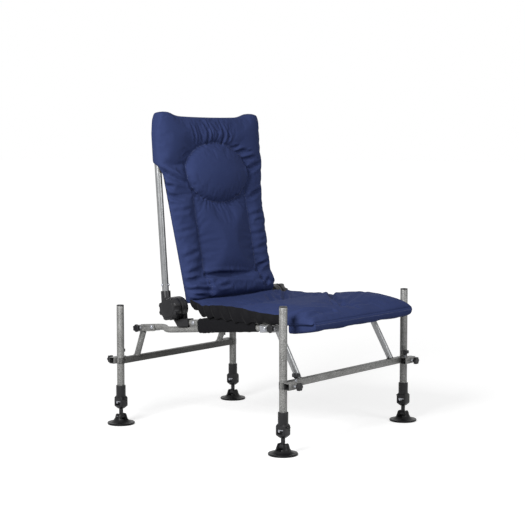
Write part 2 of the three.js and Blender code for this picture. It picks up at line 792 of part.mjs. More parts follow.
function seatMat() {
  const rim = sideTubeHeight + seatRimRise;
  const place = (across, along, through) => {
    const share = (along + 1) / 2;
    const [widthShare, crownShare] = tableAt(seatOutlineShares, share);
    const y = mix(seatMatFront, seatMatRear, share);
    const x = across * seatMatHalfWidth * widthShare;
    const edge = (1 - across ** edgeSharpness) ** 0.5;
    const top = rim + seatPadding * crownShare * mix(seatEdgeShare, 1, edge);
    const besideEdge = Math.abs(across) - bolsterPlaceShare;
    const bolster = seatBolster * dent(besideEdge, bolsterSpreadShare) * crownShare;
    const tuft = tuftDepth * dent(Math.hypot(x, y - tuftAlong), tuftSpread);
    const creaseY = mix(tuftAlong, creaseEndAlong, Math.abs(across));
    const crease = creaseDepth * dent(y - creaseY, creaseSpread) * (1 - across ** edgeSharpness);
    const lift = matRearLiftShare * Math.max(0, y - matRearLiftStart);
    const rest = sideTubeAt(y) + slingTop + runningGap * 2 + lift;
    const sag = Math.min(1, share / seatPocketShare);
    const pocket = rim - mix(seatRimThickness, seatPocketDepth, sag);
    const bottom = y < seatPocketRear ? pocket : rest;
    const height = mix(bottom, top + bolster - tuft - crease, through);
    const bulge = 1 - waistShare * (1 - Math.sin(Math.PI * through)) * across ** edgeSharpness;
    return [x * bulge, y, height];
  };
  const form = stuffed(...seatMatSteps, place);
  const frame = tube(seatTubeRoute(), frameTube + frameClearance, 0, smallSides);
  return cut(form, frame.rotateX(-seatTilt).translate(0, 0, sideTubeHeight));
}

// Edge of the back mat: height share, reach share, width share
const matEdgeShares = [
  [-0.01, -0.26, 0.805], [0.065, -0.17, 0.81], [0.303, 0.185, 0.845], [0.409, 0.356, 0.86],
  [0.581, 0.637, 0.88], [0.687, 0.736, 0.915], [0.741, 0.904, 0.968], [0.892, 1, 0.965],
  [0.96, 0.985, 0.94], [1, 0.959, 0.9],
];

function matEdge(height) {
  const [reachShare, widthShare] = tableAt(matEdgeShares, height / matHeight);
  return { y: reachShare * matReach, halfWidth: widthShare * matHalfWidth };
}

// The back tube and a cutter that follows it, in the backrest's frame
function backTubeRoute() {
  const bottom = armSocketTop - hingeSocketDepth;
  return new Route([
    point(-frameHalfWidth, backTubeOffset, bottom), point(-frameHalfWidth, backTubeOffset, backTubeTop),
    point(frameHalfWidth, backTubeOffset, backTubeTop), point(frameHalfWidth, backTubeOffset, bottom),
  ], [backCorner, backCorner]);
}

function backMat() {
  const place = (across, up, through) => {
    const share = (up + 1) / 2;
    const plain = mix(backMatBottom, matHeight, share);
    const edge = matEdge(plain);
    const ear = hoodEar * dent(Math.abs(across) - hoodEarShare, hoodEarSpreadShare);
    const ears = ear - hoodSag * (1 - across ** 2);
    const z = plain + ears * Math.max(0, (share - hoodStartShare) / (1 - hoodStartShare));
    const x = across * edge.halfWidth;
    const rim = ((1 - across ** hoodSharpness) * (1 - Math.max(0, up) ** hoodSharpness)) ** 0.5;
    const pillow = 1 - (x / pillowHalfWidth) ** 2 - ((z - pillowHeight) / pillowHalfHeight) ** 2;
    const head = pillow > 0 ? pillowDepth * pillow ** 0.5 : 0;
    const risen = (z - pillowHeight + pillowHalfHeight) / (pillowHalfHeight / 2);
    const below = 1 - Math.min(1, Math.max(0, risen));
    const seam = seamDepth * dent(Math.abs(x) - seamHalfWidth, seamSpread) * below;
    const front = edge.y - (matFrontDepth - seam) * mix(edgeFrontShare, 1, rim) - head;
    const backDepth = z > hoodBottom ? hoodBackDepth : matBackDepth;
    const back = edge.y + backDepth * mix(hoodEdgeBackShare, 1, rim);
    return [x, mix(front, back, through), z];
  };
  const form = stuffed(...backMatSteps, place);
  const frame = tube(backTubeRoute(), backTube + frameClearance, 0, smallSides);
  return cut(form, frame.rotateX(-backTilt));
}

function lumbarPad() {
  const place = (across, up, through) => {
    const share = (up + 1) / 2;
    const z = mix(lumbarBottom, backMatBottom - seatingGap, share);
    const edge = matEdge(z);
    const x = across * edge.halfWidth;
    const rim = (1 - across ** edgeSharpness) ** 0.5;
    const roll = lumbarRollDepth * dent(z - lumbarRollHeight, lumbarRollSpread) * (1 - across ** 4);
    const seam = seamDepth * dent(Math.abs(x) - seamHalfWidth, seamSpread);
    const low = mix(lumbarFrontDepth, matFrontDepth, Math.min(1, share * 2));
    const front = edge.y - (low - seam) * mix(edgeFrontShare, 1, rim) - roll;
    const back = edge.y + mix(lumbarBackDepth, matBackDepth, share) * mix(edgeBackShare, 1, rim);
    return [x, mix(front, back, through), z];
  };
  return stuffed(...lumbarSteps, place);
}

const chair = new THREE.Group();

// Leg frames: a bar across with two struts, a clamp at each end and the legs in the clamps
const housingTurns = { front_right: 0, front_left: Math.PI, rear_right: 0, rear_left: Math.PI };
const padTurns = { front_right: 0, front_left: 0, rear_right: Math.PI / 2, rear_left: 0 };

for (const end of ends) {
  const front = end.y < 0;
  const barHalf = end.track / 2 - clampDiameter / 2 - seatingGap;
  const flats = [-1, 1].flatMap((x) => [[x, -x], [x, x]]);
  const square = (size) => flats.map(([x, y]) => new THREE.Vector2((x * size) / 2, (y * size) / 2));
  const bar = extruded(square(barSize), 2 * barHalf, [square(barSize - 2 * barWall)])
    .rotateY(Math.PI / 2).translate(-barHalf, 0, 0);
  const frame = new THREE.Group();
  frame.position.set(0, (end.y * legReach) / 2, end.barHeight);
  frame.add(piece(`${end.name}_crossbar`, bar, hammered));
  chair.add(frame);

  for (const side of sides) {
    const place = `${end.name}_${side.name}`;
    chair.add(makeLeg(side, end, housingTurns[place], padTurns[place]));

    const seat = new THREE.Group();
    seat.position.z = sideTubeHeight;
    seat.rotation.x = -seatTilt;
    const footX = front ? frontStrutHalfWidth : rearStrutHalfWidth;
    const footY = (end.y * legReach) / 2 + (front ? frontStrutFoot : rearStrutFoot);
    const standing = point(footX, footY, end.barHeight + barSize / 2);
    const foot = standing.clone().setZ(standing.z - sideTubeHeight);
    foot.applyAxisAngle(point(1, 0, 0), seatTilt);
    const strut = swingStrut(end, foot);
    const barTop = block(
      [footX - barSize * 2, footY - barSize * 2, end.barHeight - barSize],
      [footX + barSize * 2, footY + barSize * 2, end.barHeight + barSize / 2 + seatingGap],
    ).translate(0, 0, -sideTubeHeight).rotateX(seatTilt);
    const trimmed = cut(strut.geometry, barTop);
    const shape = mirrored(trimmed, side.x, 1);
    seat.add(piece(`${end.name}_strut_${side.name}`, shape, front ? bright : hammered));
    const lockLength = strut.outside - frameTube / 2 - seatingGap + lockScrewStandoff;
    const lockKnob = piece(`${end.name}_lock_knob_${side.name}`, clampKnob(lockLength), charcoal);
    lockKnob.rotation.y = (side.x * Math.PI) / 2;
    lockKnob.position.set(side.x * (strut.x + frameTube / 2 + seatingGap), strut.lock, strut.rise);
    seat.add(lockKnob);
    chair.add(seat);
  }
}

// Seat
const seatFrame = new THREE.Group();
seatFrame.position.z = sideTubeHeight;
seatFrame.rotation.x = -seatTilt;
seatFrame.add(piece('seat_tube', tube(seatTubeRoute(), frameTube, frameWall), hammered));
seatFrame.add(piece('seat_sling', seatSling(), blackCloth));
for (const side of sides) {
  seatFrame.add(piece(`side_tube_${side.name}`, sideTube(side.x), hammered));
  const base = piece(`hinge_base_${side.name}`, mirrored(hingeBase(), side.x, 1), charcoal);
  base.position.set(side.x * frameHalfWidth, hingeAlong, hingeRise);
  seatFrame.add(base);
}
chair.add(seatFrame);
chair.add(piece('seat_mat', seatMat(), navy));

// Backrest, about the axis of its hinges
const hingeCentre = point(0, hingeAlong, hingeRise).applyAxisAngle(point(1, 0, 0), -seatTilt);
const backrest = new THREE.Group();
backrest.position.copy(hingeCentre).add(point(0, 0, sideTubeHeight));
const backFrame = new THREE.Group();
backFrame.rotation.x = -backTilt;
backFrame.add(piece('back_tube', tube(backTubeRoute(), backTube, backWall), bright));
for (const side of sides) {
  const arm = piece(`hinge_arm_${side.name}`, mirrored(hingeArm(), side.x, 1), charcoal);
  arm.position.x = side.x * frameHalfWidth;
  const star = piece(`star_knob_${side.name}`, mirrored(starKnob(), side.x, 1), charcoal);
  star.position.x = side.x * frameHalfWidth;
  backFrame.add(arm, star);
}
backrest.add(backFrame, piece('back_mat', backMat(), navy), piece('lumbar_pad', lumbarPad(), navy));
chair.add(backrest);

export default chair;
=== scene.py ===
import json
import math

import bpy
import numpy as np
from mathutils import Matrix, Vector


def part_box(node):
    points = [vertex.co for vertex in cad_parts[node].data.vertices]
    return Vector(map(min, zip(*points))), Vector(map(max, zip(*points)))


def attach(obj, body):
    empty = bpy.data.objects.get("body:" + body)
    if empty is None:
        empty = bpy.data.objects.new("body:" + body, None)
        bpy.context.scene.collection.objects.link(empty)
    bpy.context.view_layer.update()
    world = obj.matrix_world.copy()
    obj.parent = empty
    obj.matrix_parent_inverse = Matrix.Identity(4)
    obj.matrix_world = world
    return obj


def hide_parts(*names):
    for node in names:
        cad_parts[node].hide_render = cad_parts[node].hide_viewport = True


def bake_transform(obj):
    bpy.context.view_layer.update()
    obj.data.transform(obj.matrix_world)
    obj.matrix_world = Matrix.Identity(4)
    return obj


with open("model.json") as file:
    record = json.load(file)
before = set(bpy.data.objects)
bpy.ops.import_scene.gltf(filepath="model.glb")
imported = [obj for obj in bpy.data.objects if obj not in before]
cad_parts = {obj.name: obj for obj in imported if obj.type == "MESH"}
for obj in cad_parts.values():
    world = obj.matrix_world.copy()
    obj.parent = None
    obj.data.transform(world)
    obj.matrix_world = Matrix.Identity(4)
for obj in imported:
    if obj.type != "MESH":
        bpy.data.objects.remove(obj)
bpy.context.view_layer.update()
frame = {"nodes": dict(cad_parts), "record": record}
bpy.ops.object.select_all(action="DESELECT")
scene = bpy.context.scene
scene.view_settings.view_transform = "Standard"


# Studio. A pale floor under soft lamps, seen by one camera at chest height from the sitter's right.
# The floor takes the chair's shadow, and the background beyond it is plain white.
class Shade:
    """One output in a material's nodes. Arithmetic on it adds Math nodes behind it."""

    def __init__(self, tree, socket=None):
        self.tree = tree
        self.socket = socket

    def node(self, kind, settings=(), inputs=(), output=0):
        made = self.tree.nodes.new("ShaderNode" + kind)
        for name, value in dict(settings).items():
            setattr(made, name, value)
        for name, value in dict(inputs).items():
            if isinstance(value, Shade):
                self.tree.links.new(value.socket, made.inputs[name])
            else:
                made.inputs[name].default_value = value
        return Shade(self.tree, made.outputs[output])

    def math(self, operation, *values):
        return self.node("Math", {"operation": operation}, dict(enumerate(values)))

    def mix(self, first, second):
        """A colour between two, by this share."""
        return self.node("Mix", {"data_type": "RGBA"}, {0: self, 6: (*first, 1), 7: (*second, 1)}, output=2)

    def place(self):
        """Where a point lies on its object."""
        return self.node("TexCoord", output="Object")

    def noise(self, scale, detail):
        """Clouds at this place."""
        return self.node("TexNoise", inputs={"Vector": self, "Scale": scale, "Detail": detail})

    def bump(self, strength, distance):
        """A relief of this height."""
        return self.node("Bump", inputs={"Height": self, "Strength": strength, "Distance": distance})

    def __add__(self, other):
        return self.math("ADD", self, other)

    def __sub__(self, other):
        return self.math("SUBTRACT", self, other)

    def __mul__(self, other):
        return self.math("MULTIPLY", self, other)


def seen_directly(start):
    """1 for what the camera, a reflection or clear material looks at, and 0 for the light itself."""
    names = ("Is Camera Ray", "Is Glossy Ray", "Is Transmission Ray")
    rays = [start.node("LightPath", output=name) for name in names]
    return rays[0].math("MINIMUM", rays[0] + rays[1] + rays[2], 1.0)


bpy.ops.object.camera_add(location=(-3.521, -2.785, 0.904), rotation=(math.pi / 2 - 0.084, 0, -0.904))
camera = bpy.context.object
camera.data.lens = 95.66
camera.data.sensor_width = 36
scene.camera = camera

chair_middle = Vector((0, 0, 0.5))
lamps = (((-2.9, -0.5, 2.1), 1.1, 136), ((0.0, -3.2, 1.9), 1.4, 50), ((0.2, 0.4, 2.9), 1.4, 1))
for place, size, power in lamps:
    bpy.ops.object.light_add(type="AREA", location=place)
    lamp = bpy.context.object
    lamp.rotation_euler = (Vector(place) - chair_middle).to_track_quat("Z", "Y").to_euler()
    lamp.data.size = size
    lamp.data.energy = power

world = bpy.data.worlds.new("studio")
scene.world = world
world.use_nodes = True
dim = 0.11
brightness = seen_directly(Shade(world.node_tree)) * (1 - dim) + dim
backdrop = world.node_tree.nodes["Background"]
backdrop.inputs["Color"].default_value = (1, 1, 1, 1)
world.node_tree.links.new(brightness.socket, backdrop.inputs["Strength"])

bpy.ops.mesh.primitive_plane_add(size=120)
floor = bpy.context.object
floor.name = "studio_floor"
floor_paint = bpy.data.materials.new("floor_paint")
floor_paint.use_nodes = True
floor_tree = floor_paint.node_tree
floor_tree.nodes.remove(floor_tree.nodes["Principled BSDF"])
start = Shade(floor_tree)
away = start.node("VectorMath", {"operation": "LENGTH"}, {0: start.place()}, output="Value")
near_glow, reach_of_shadow = 0.72, 4.0
glow = start.math("MINIMUM", away * (1 / reach_of_shadow), 1.0) * (1 - near_glow) + near_glow
matt = start.node("BsdfDiffuse", inputs={"Color": (0.42, 0.42, 0.42, 1)})
shine = start.node("Emission", inputs={"Color": (1, 1, 1, 1), "Strength": seen_directly(start) * glow})
floor_mix = start.node("AddShader", inputs={0: matt, 1: shine})
floor_tree.links.new(floor_mix.socket, floor_tree.nodes["Material Output"].inputs["Surface"])
floor.data.materials.append(floor_paint)


# Crossbars. Square aluminium tube with rounded corners, one across each pair of legs, painted
# in a grey hammered finish and welded to a clamp at each end.
bodies = {node: body for body, names in frame["record"]["behaviour"]["bodies"].items() for node in names}
nodes = frame["nodes"]


def surface(name, fixed, light, dark, pattern, *details):
    """A material with even values on its sockets and a pattern of tone, roughness and relief."""
    material = bpy.data.materials.new(name)
    material.use_nodes = True
    tree = material.node_tree
    shader = tree.nodes["Principled BSDF"]
    for socket, value in fixed.items():
        shader.inputs[socket].default_value = value
    tone, roughness, relief = pattern(Shade(tree).place(), *details)
    for socket, shade in (("Base Color", tone.mix(dark, light)), ("Roughness", roughness), ("Normal", relief)):
        tree.links.new(shade.socket, shader.inputs[socket])
    return material


def hammered(place):
    """Mottled paint that dried in small dimples."""
    dimples = place.node("TexVoronoi", {"feature": "SMOOTH_F1"}, {"Vector": place, "Scale": 360.0})
    specks = place.noise(620.0, 2.0)
    tone = (specks - 0.5) * 3.0 + (place.noise(26.0, 3.0) - 0.5) * 0.7 + (dimples - 0.35) + 0.5
    tone = tone.math("MINIMUM", tone.math("MAXIMUM", tone, 0.0), 1.0)
    return tone, tone * 0.12 + 0.40, (dimples + specks * 0.6).bump(0.4, 0.0005)


hammered_grey = surface(
    "hammered_grey", {"Metallic": 0.30, "Specular IOR Level": 0.30},
    (0.300, 0.300, 0.292), (0.070, 0.070, 0.068), hammered,
)
# A much darker copy of the same grey hammered paint, used on the rear crossbar only. It is painted shade, since both
# bars have one paint.
hammered_grey_painted_shade = surface(
    "hammered_grey_painted_shade", {"Metallic": 0.30, "Specular IOR Level": 0.25},
    (0.105, 0.104, 0.100), (0.026, 0.026, 0.025), hammered,
)


def only(piece):
    bpy.ops.object.select_all(action="DESELECT")
    piece.select_set(True)
    bpy.context.view_layer.objects.active = piece


def opened(piece, select="SELECT"):
    """Goes into the mesh of a piece, with all or none of it selected."""
    only(piece)
    bpy.ops.object.mode_set(mode="EDIT")
    bpy.ops.mesh.select_all(action=select)


def closed():
    bpy.ops.object.mode_set(mode="OBJECT")


def smooth(sharpest):
    """Shades the chosen piece smooth, but for edges that turn more than an angle."""
    bpy.ops.object.shade_smooth_by_angle(angle=math.radians(sharpest))


def shaped(piece, kind, **settings):
    """Adds one modifier to a piece and applies it."""
    only(piece)
    modifier = piece.modifiers.new("shaping", kind)
    for name, value in settings.items():
        setattr(modifier, name, value)
    bpy.ops.object.modifier_apply(modifier="shaping")


def bevelled(piece, width, segments, sharpest):
    """Rounds the edges that turn more than an angle."""
    limit = math.radians(sharpest)
    shaped(piece, "BEVEL", width=width, segments=segments, limit_method="ANGLE", angle_limit=limit)


def rounded(piece, width, segments=2, sharpest=35):
    """Rounds the sharp edges of a piece and shades the rest smooth."""
    bevelled(piece, width, segments, sharpest)
    smooth(34)


def settle(piece, name, *materials):
    """Puts a piece's place into its mesh, names it and gives it its finishes."""
    only(piece)
    bpy.ops.object.transform_apply(location=True, rotation=True, scale=True)
    piece.name = name
    piece.data.materials.clear()
    for material in materials:
        piece.data.materials.append(material)
    return piece


def cube(name, place, size, *materials):
    bpy.ops.mesh.primitive_cube_add(size=1, location=place, scale=size)
    return settle(bpy.context.object, name, *materials)


def stands_for(piece, node):
    """The piece moves with the frame node that it stands for and hides it."""
    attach(piece, bodies[node])
    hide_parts(node)


bar_y = {"front": -0.346, "rear": 0.346}
bar_z = {"front": 0.206, "rear": 0.208}
bar_width, corner_round = 0.02, 0.0028
# The rear bar takes the darker copy of the paint, which is painted shade.
for end, half, paint in (("front", 0.3130, hammered_grey), ("rear", 0.2740, hammered_grey_painted_shade)):
    bar = cube(end + "_bar", (0, bar_y[end], bar_z[end]), (2 * half, bar_width, bar_width), paint)
    rounded(bar, corner_round, 4)
    stands_for(bar, end + "_crossbar")


# Leg clamps. A sleeve slides on each leg and a short square socket is welded beside it, open at both
# ends to take the arm of a rod rest. Both are aluminium in the same hammered paint.
def softened(node, name, edge, *materials):
    """A copy of a frame node with its triangles joined into faces and its edges rounded."""
    piece = bpy.data.objects.new(name, nodes[node].data.copy())
    scene.collection.objects.link(piece)
    opened(piece)
    bpy.ops.mesh.remove_doubles(threshold=0.00002)
    bpy.ops.mesh.dissolve_limited(angle_limit=math.radians(0.6))
    closed()
    settle(piece, name, *materials)
    rounded(piece, edge)
    return piece


sides = {"right": -1, "left": 1}
leg_x = {"front": 0.325, "rear": 0.286}
legs = {(end, side): (sides[side] * leg_x[end], bar_y[end]) for end in leg_x for side in sides}
# The inside of each socket's opening gets a much darker tone of the hammered paint: painted shade in the recess.
socket_painted_shade = surface("socket_inside_painted_shade", {"Metallic": 0.3}, (0.06, 0.06, 0.06), (0.03, 0.03, 0.03), hammered)
ring_inner, ring_outer, ring_shown = 0.0126, 0.0168, 0.0128
socket_off, socket_reach = 0.02485, 0.0088
for (end, side), (x, y) in legs.items():
    where = f"{end}_{side}"
    clamp = softened(f"leg_clamp_{where}", f"clamp_{where}", 0.0008, hammered_grey, socket_painted_shade)
    low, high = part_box(f"leg_clamp_{where}")
    for vertex in clamp.data.vertices:
        out = Vector((vertex.co.x - x, vertex.co.y - y))
        if ring_inner < out.length < ring_outer:
            vertex.co.x = x + out.x * ring_shown / out.length
            vertex.co.y = y + out.y * ring_shown / out.length
    socket_y = y + math.copysign(socket_off, y)
    # Faces within the socket's opening take the painted shade.
    for face in clamp.data.polygons:
        gap = Vector((face.center.y - socket_y, face.center.z - (low[2] + high[2]) / 2))
        if max(abs(gap.x), abs(gap.y)) < socket_reach:
            face.material_index = 1
    stands_for(clamp, f"leg_clamp_{where}")


# Struts. A round tube rises from each crossbar to a U bracket that swings on the side tube, with a
# bright pivot bolt. The front pair is bright aluminium and the rear pair is painted like the bars.
def brushed(place, along):
    """Drawn aluminium with faint lines along the tube."""
    lines = place.node("Mapping", inputs={"Vector": place, "Scale": along}).noise(1.0, 3.0)
    tone = (lines - 0.5) * 1.3 + (place.noise(30.0, 2.0) - 0.5) * 0.5 + 0.5
    return tone, tone * 0.1 + 0.24, lines.bump(0.12, 0.0002)


def points_of(piece, what="co"):
    """The points of a piece, or the directions that they face."""
    flat = np.empty(len(piece.data.vertices) * 3)
    piece.data.vertices.foreach_get(what, flat)
    return flat.reshape(-1, 3)


def unit(values):
    """Values held between 0 and 1."""
    return np.clip(values, 0, 1)


def set_points(piece, points):
    piece.data.vertices.foreach_set("co", points.ravel())
    piece.data.update()


def rides(piece, body):
    """The piece moves with a body and stands for no node of the frame."""
    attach(piece, body)


bright_tube = surface(
    "bright_tube", {"Metallic": 0.8}, (0.30, 0.305, 0.31), (0.17, 0.175, 0.18), brushed, (700, 700, 30),
)
zinc = surface("zinc_plate", {"Metallic": 1.0}, (0.42, 0.43, 0.46), (0.26, 0.27, 0.30), brushed, (300, 300, 300))
seat_height, seat_tilt = 0.3355, math.radians(5.4)
on_seat = Matrix.Translation((0, 0, seat_height)) @ Matrix.Rotation(-seat_tilt, 4, "X")
rear_rise = 0.0065
pivots = {"front": (-0.226, 0), "rear": (0.265, rear_rise)}
strut_feet = {"front": (0.248, -0.345, 0.216), "rear": (0.209, 0.345, 0.218)}
bolt_radius, bead_radius, bead_thickness = 0.0068, 0.0105, 0.0017
for end, side in legs:
    paint, slot = (bright_tube, "bright_alloy") if end == "front" else (hammered_grey, "hammered_alloy")
    strut = softened(f"{end}_strut_{side}", f"strut_{end}_{side}", 0.0007, paint, zinc)
    pivot = on_seat @ Vector((0, *pivots[end]))
    for face in strut.data.polygons:
        if math.hypot(face.center.y - pivot.y, face.center.z - pivot.z) < bolt_radius:
            face.material_index = 1
    stands_for(strut, f"{end}_strut_{side}")
    x, y, z = strut_feet[end]
    x *= sides[side]
    bpy.ops.mesh.primitive_torus_add(
        major_radius=bead_radius, minor_radius=bead_thickness, major_segments=40, minor_segments=8,
        location=(x, y, z + 0.0006),
    )
    bead = settle(bpy.context.object, f"weld_{end}_{side}", hammered_grey)
    points = points_of(bead)
    around = np.arctan2(points[:, 1] - y, points[:, 0] - x)
    ripple = 1 + 0.25 * np.sin(around * 13)[:, None]
    ring_x, ring_y = x + bead_radius * np.cos(around), y + bead_radius * np.sin(around)
    middle = np.column_stack([ring_x, ring_y, np.full(len(points), z)])
    set_points(bead, middle + (points - middle) * ripple)
    bpy.ops.object.shade_smooth()
    rides(bead, end + "_frame")


# Legs. Straight aluminium tube in hammered paint that slides in its clamp, closed at the top by a
# black plug with a domed rim.
def grained(place, grain):
    """Moulded plastic with a fine even grain."""
    pits, clouds = place.noise(grain, 2.0), place.noise(34.0, 3.0)
    tone = (pits - 0.5) * 0.8 + (clouds - 0.5) * 0.8 + 0.5
    return tone, clouds * 0.22 + 0.27, pits.bump(0.25, 0.00025)


def cylinder(name, segments, radius, depth, place, *materials, along="Z", ends="NGON"):
    """A round bar centred on a place, along Z or Y."""
    bpy.ops.mesh.primitive_cylinder_add(
        vertices=segments, radius=radius, depth=depth, end_fill_type=ends, location=place,
        rotation=(math.pi / 2 if along == "Y" else 0, 0, 0),
    )
    return settle(bpy.context.object, name, *materials)


def pushed(piece, wanted, *steps):
    """Insets the wanted faces and moves them along their normals, once for each pair of sizes."""
    opened(piece, "DESELECT")
    bpy.ops.mesh.select_mode(type="FACE")
    closed()
    for face in piece.data.polygons:
        face.select = bool(wanted(face))
    bpy.ops.object.mode_set(mode="EDIT")
    for inset, rise in steps:
        bpy.ops.mesh.inset(thickness=inset, depth=rise)
    closed()


charcoal = surface(
    "charcoal_moulding", {"Specular IOR Level": 0.22}, (0.019, 0.019, 0.021), (0.008, 0.008, 0.009), grained, 900.0,
)
rubber = surface(
    "black_rubber", {"Specular IOR Level": 0.13}, (0.009, 0.009, 0.010), (0.004, 0.004, 0.0045), grained, 1200.0,
)
leg_radius, leg_wall, leg_foot = 0.012, 0.0015, 0.0953
leg_top = {"front": 0.4347, "rear": 0.3867}
plug_depth, plug_rise = 0.0030, 0.0018
for (end, side), (x, y) in legs.items():
    top = leg_top[end]
    middle = (x, y, (top + leg_foot) / 2)
    leg = cylinder(f"leg_{end}_{side}", 56, leg_radius, top - leg_foot, middle, hammered_grey, ends="NOTHING")
    shaped(leg, "SOLIDIFY", thickness=leg_wall, offset=-1)
    rounded(leg, 0.0004)
    stands_for(leg, f"leg_tube_{end}_{side}")
    cap = cylinder(f"leg_plug_{end}_{side}", 56, leg_radius, plug_depth, (x, y, top + plug_rise), charcoal)
    rounded(cap, 0.0013, 3)
    widest = max(cap.data.polygons, key=lambda face: (face.center.z, face.area)).index
    pushed(cap, lambda face: face.index == widest, (0.003, 0), (0.001, -0.0007))
    stands_for(cap, f"leg_cap_{end}_{side}")


# Clamp knobs. Twelve small moulded knobs with six lobes, each pressed on a zinc-plated screw. They
# lock the legs' height, the rod-rest sockets and the swing brackets.
def on_top(face):
    return face.normal.z > 0.9


def underneath(face):
    return face.normal.z < -0.9


def on_ends(face):
    return abs(face.normal.y) > 0.9


def joined(piece, *others):
    """Makes several shapes one piece, in which each keeps its finish."""
    only(piece)
    for other in others:
        other.select_set(True)
    bpy.ops.object.join()
    return piece


def copied(pattern, name, place):
    """A copy with a mesh of its own, moved into place."""
    twin = bpy.data.objects.new(name, pattern.data.copy())
    scene.collection.objects.link(twin)
    twin.data.transform(place)
    return twin


def faced_out(piece):
    """Turns every face of a piece outward."""
    opened(piece)
    bpy.ops.mesh.normals_make_consistent(inside=False)
    closed()


def drawn_up(name, segments, radius, rings, material):
    """A round piece drawn up from a disc on the ground through rings of (radius, height)."""
    bpy.ops.mesh.primitive_circle_add(vertices=segments, radius=radius, fill_type="NGON")
    piece = settle(bpy.context.object, name, material)
    opened(piece)
    height = 0.0
    for wide, high in rings:
        bpy.ops.mesh.extrude_region_move(TRANSFORM_OT_translate={"value": (0, 0, high - height)})
        bpy.ops.transform.resize(value=(wide / radius, wide / radius, 1))
        radius, height = wide, high
    closed()
    faced_out(piece)
    return piece


def lobed(piece, count, turn, inner, width, depth):
    """Draws the rim in between its lobes, from an inner radius outwards."""
    points = points_of(piece)
    around = np.arctan2(points[:, 1], points[:, 0]) - turn
    rim = unit((np.hypot(points[:, 0], points[:, 1]) - inner) / width)
    points[:, :2] *= (1 - depth * rim * (1 - np.cos(count * around)))[:, None]
    set_points(piece, points)


def clamp_knob(length):
    """A knob over its screw; the screw's tip is at zero and the knob is above it."""
    knob = cylinder("clamp_knob", 36, 0.0125, 0.009, (0, 0, length + 0.0085), charcoal)
    pushed(knob, on_top, (0.0012, 0.0006), (0.0022, 0.0003), (0.0005, -0.0006), (0.0035, 0.0003))
    pushed(knob, underneath, (0.0058, 0), (0.0002, 0.004))
    lobed(knob, 6, 0, 0.0085, 0.0038, 0.096)
    rounded(knob, 0.0005)
    root, crest, step = 0.0026, 0.0026 * 1.15, 0.0006
    rings = [(root if turn % 2 else crest, step * (turn + 1)) for turn in range(round((length + 0.001) / step))]
    screw = drawn_up("screw", 14, root, rings, zinc)
    smooth(50)
    return joined(knob, screw)


quarter = math.pi / 2
screw_lengths = {"height": 0.0335, "accessory": 0.0112, "lock": 0.0146}
knobs = {kind: clamp_knob(length) for kind, length in screw_lengths.items()}
lock_spots = {"front": (0.2563, -0.264, 0), "rear": (0.2223, 0.314, rear_rise)}
for (end, side), (x, y) in legs.items():
    across, out, height = sides[side], math.copysign(1, y), bar_z[end]
    lock_x, lock_y, lock_z = lock_spots[end]
    spots = {
        "height": Matrix.Translation((x - across * 0.008, y + out * 0.0113, height))
        @ Matrix.Rotation(-out * quarter, 4, "X"),
        "accessory": Matrix.Translation((x - across * 0.030, y + out * 0.0248, height + 0.0088)),
        "lock": on_seat @ Matrix.Translation((across * lock_x, lock_y, lock_z))
        @ Matrix.Rotation(across * quarter, 4, "Y"),
    }
    names = {
        "height": f"height_knob_{end}_{side}", "accessory": f"accessory_knob_{end}_{side}",
        "lock": f"{end}_lock_knob_{side}",
    }
    for kind, spot in spots.items():
        stands_for(copied(knobs[kind], f"knob_{kind}_{end}_{side}", spot), names[kind])
for pattern in knobs.values():
    bpy.data.objects.remove(pattern)


# Feet. A moulded boot takes the leg; the box below it has a window on two sides, where a sprung latch
# holds the stem. The stem's round eye turns on a pin between two ears of a wide rubber disc.
def hollowed(piece, size, place):
    """Cuts a box-shaped opening."""
    tool = cube("hollow", place, size)
    shaped(piece, "BOOLEAN", operation="DIFFERENCE", solver="EXACT", object=tool)
    bpy.data.objects.remove(tool)


housing = cube("foot_housing", (0, 0, 0.074), (0.029, 0.033, 0.028), charcoal)
for wanted, shift, narrow in ((on_top, 0.007, (0.74, 0.66, 1)), (underneath, -0.009, (0.5, 0.44, 1))):
    pushed(housing, wanted)
    bpy.ops.object.mode_set(mode="EDIT")
    bpy.ops.mesh.extrude_region_move(TRANSFORM_OT_translate={"value": (0, 0, shift)})
    bpy.ops.transform.resize(value=narrow)
    closed()
bevelled(housing, 0.0016, 3, 20)
latch_z, eye_z = 0.084, 0.025
hollowed(housing, (0.06, 0.022, 0.014), (0, 0, 0.070))
hollowed(housing, (0.0148, 0.02, 0.0048), (0, -0.0125, latch_z))
boot = cylinder("boot", 56, 0.0155, 0.037, (0, 0, 0.1085), charcoal)
pushed(boot, on_top, (0.0008, 0.0006), (0.0019, 0), (0.0002, -0.004))
rounded(boot, 0.0006)
rounded(housing, 0.0004)
joined(housing, boot)

stem = cylinder("foot_stem", 36, 0.0065, 0.028, (0, 0, 0.039), charcoal)
pushed(stem, on_top, (0.0015, 0), (0.0001, 0.037))
rounded(stem, 0.0005)
eye = cylinder("eye", 48, 0.0095, 0.017, (0, 0, eye_z), charcoal, along="Y")
pushed(eye, on_ends, (0.0012, 0.0003))
rounded(eye, 0.0009, 3)
joined(stem, eye)

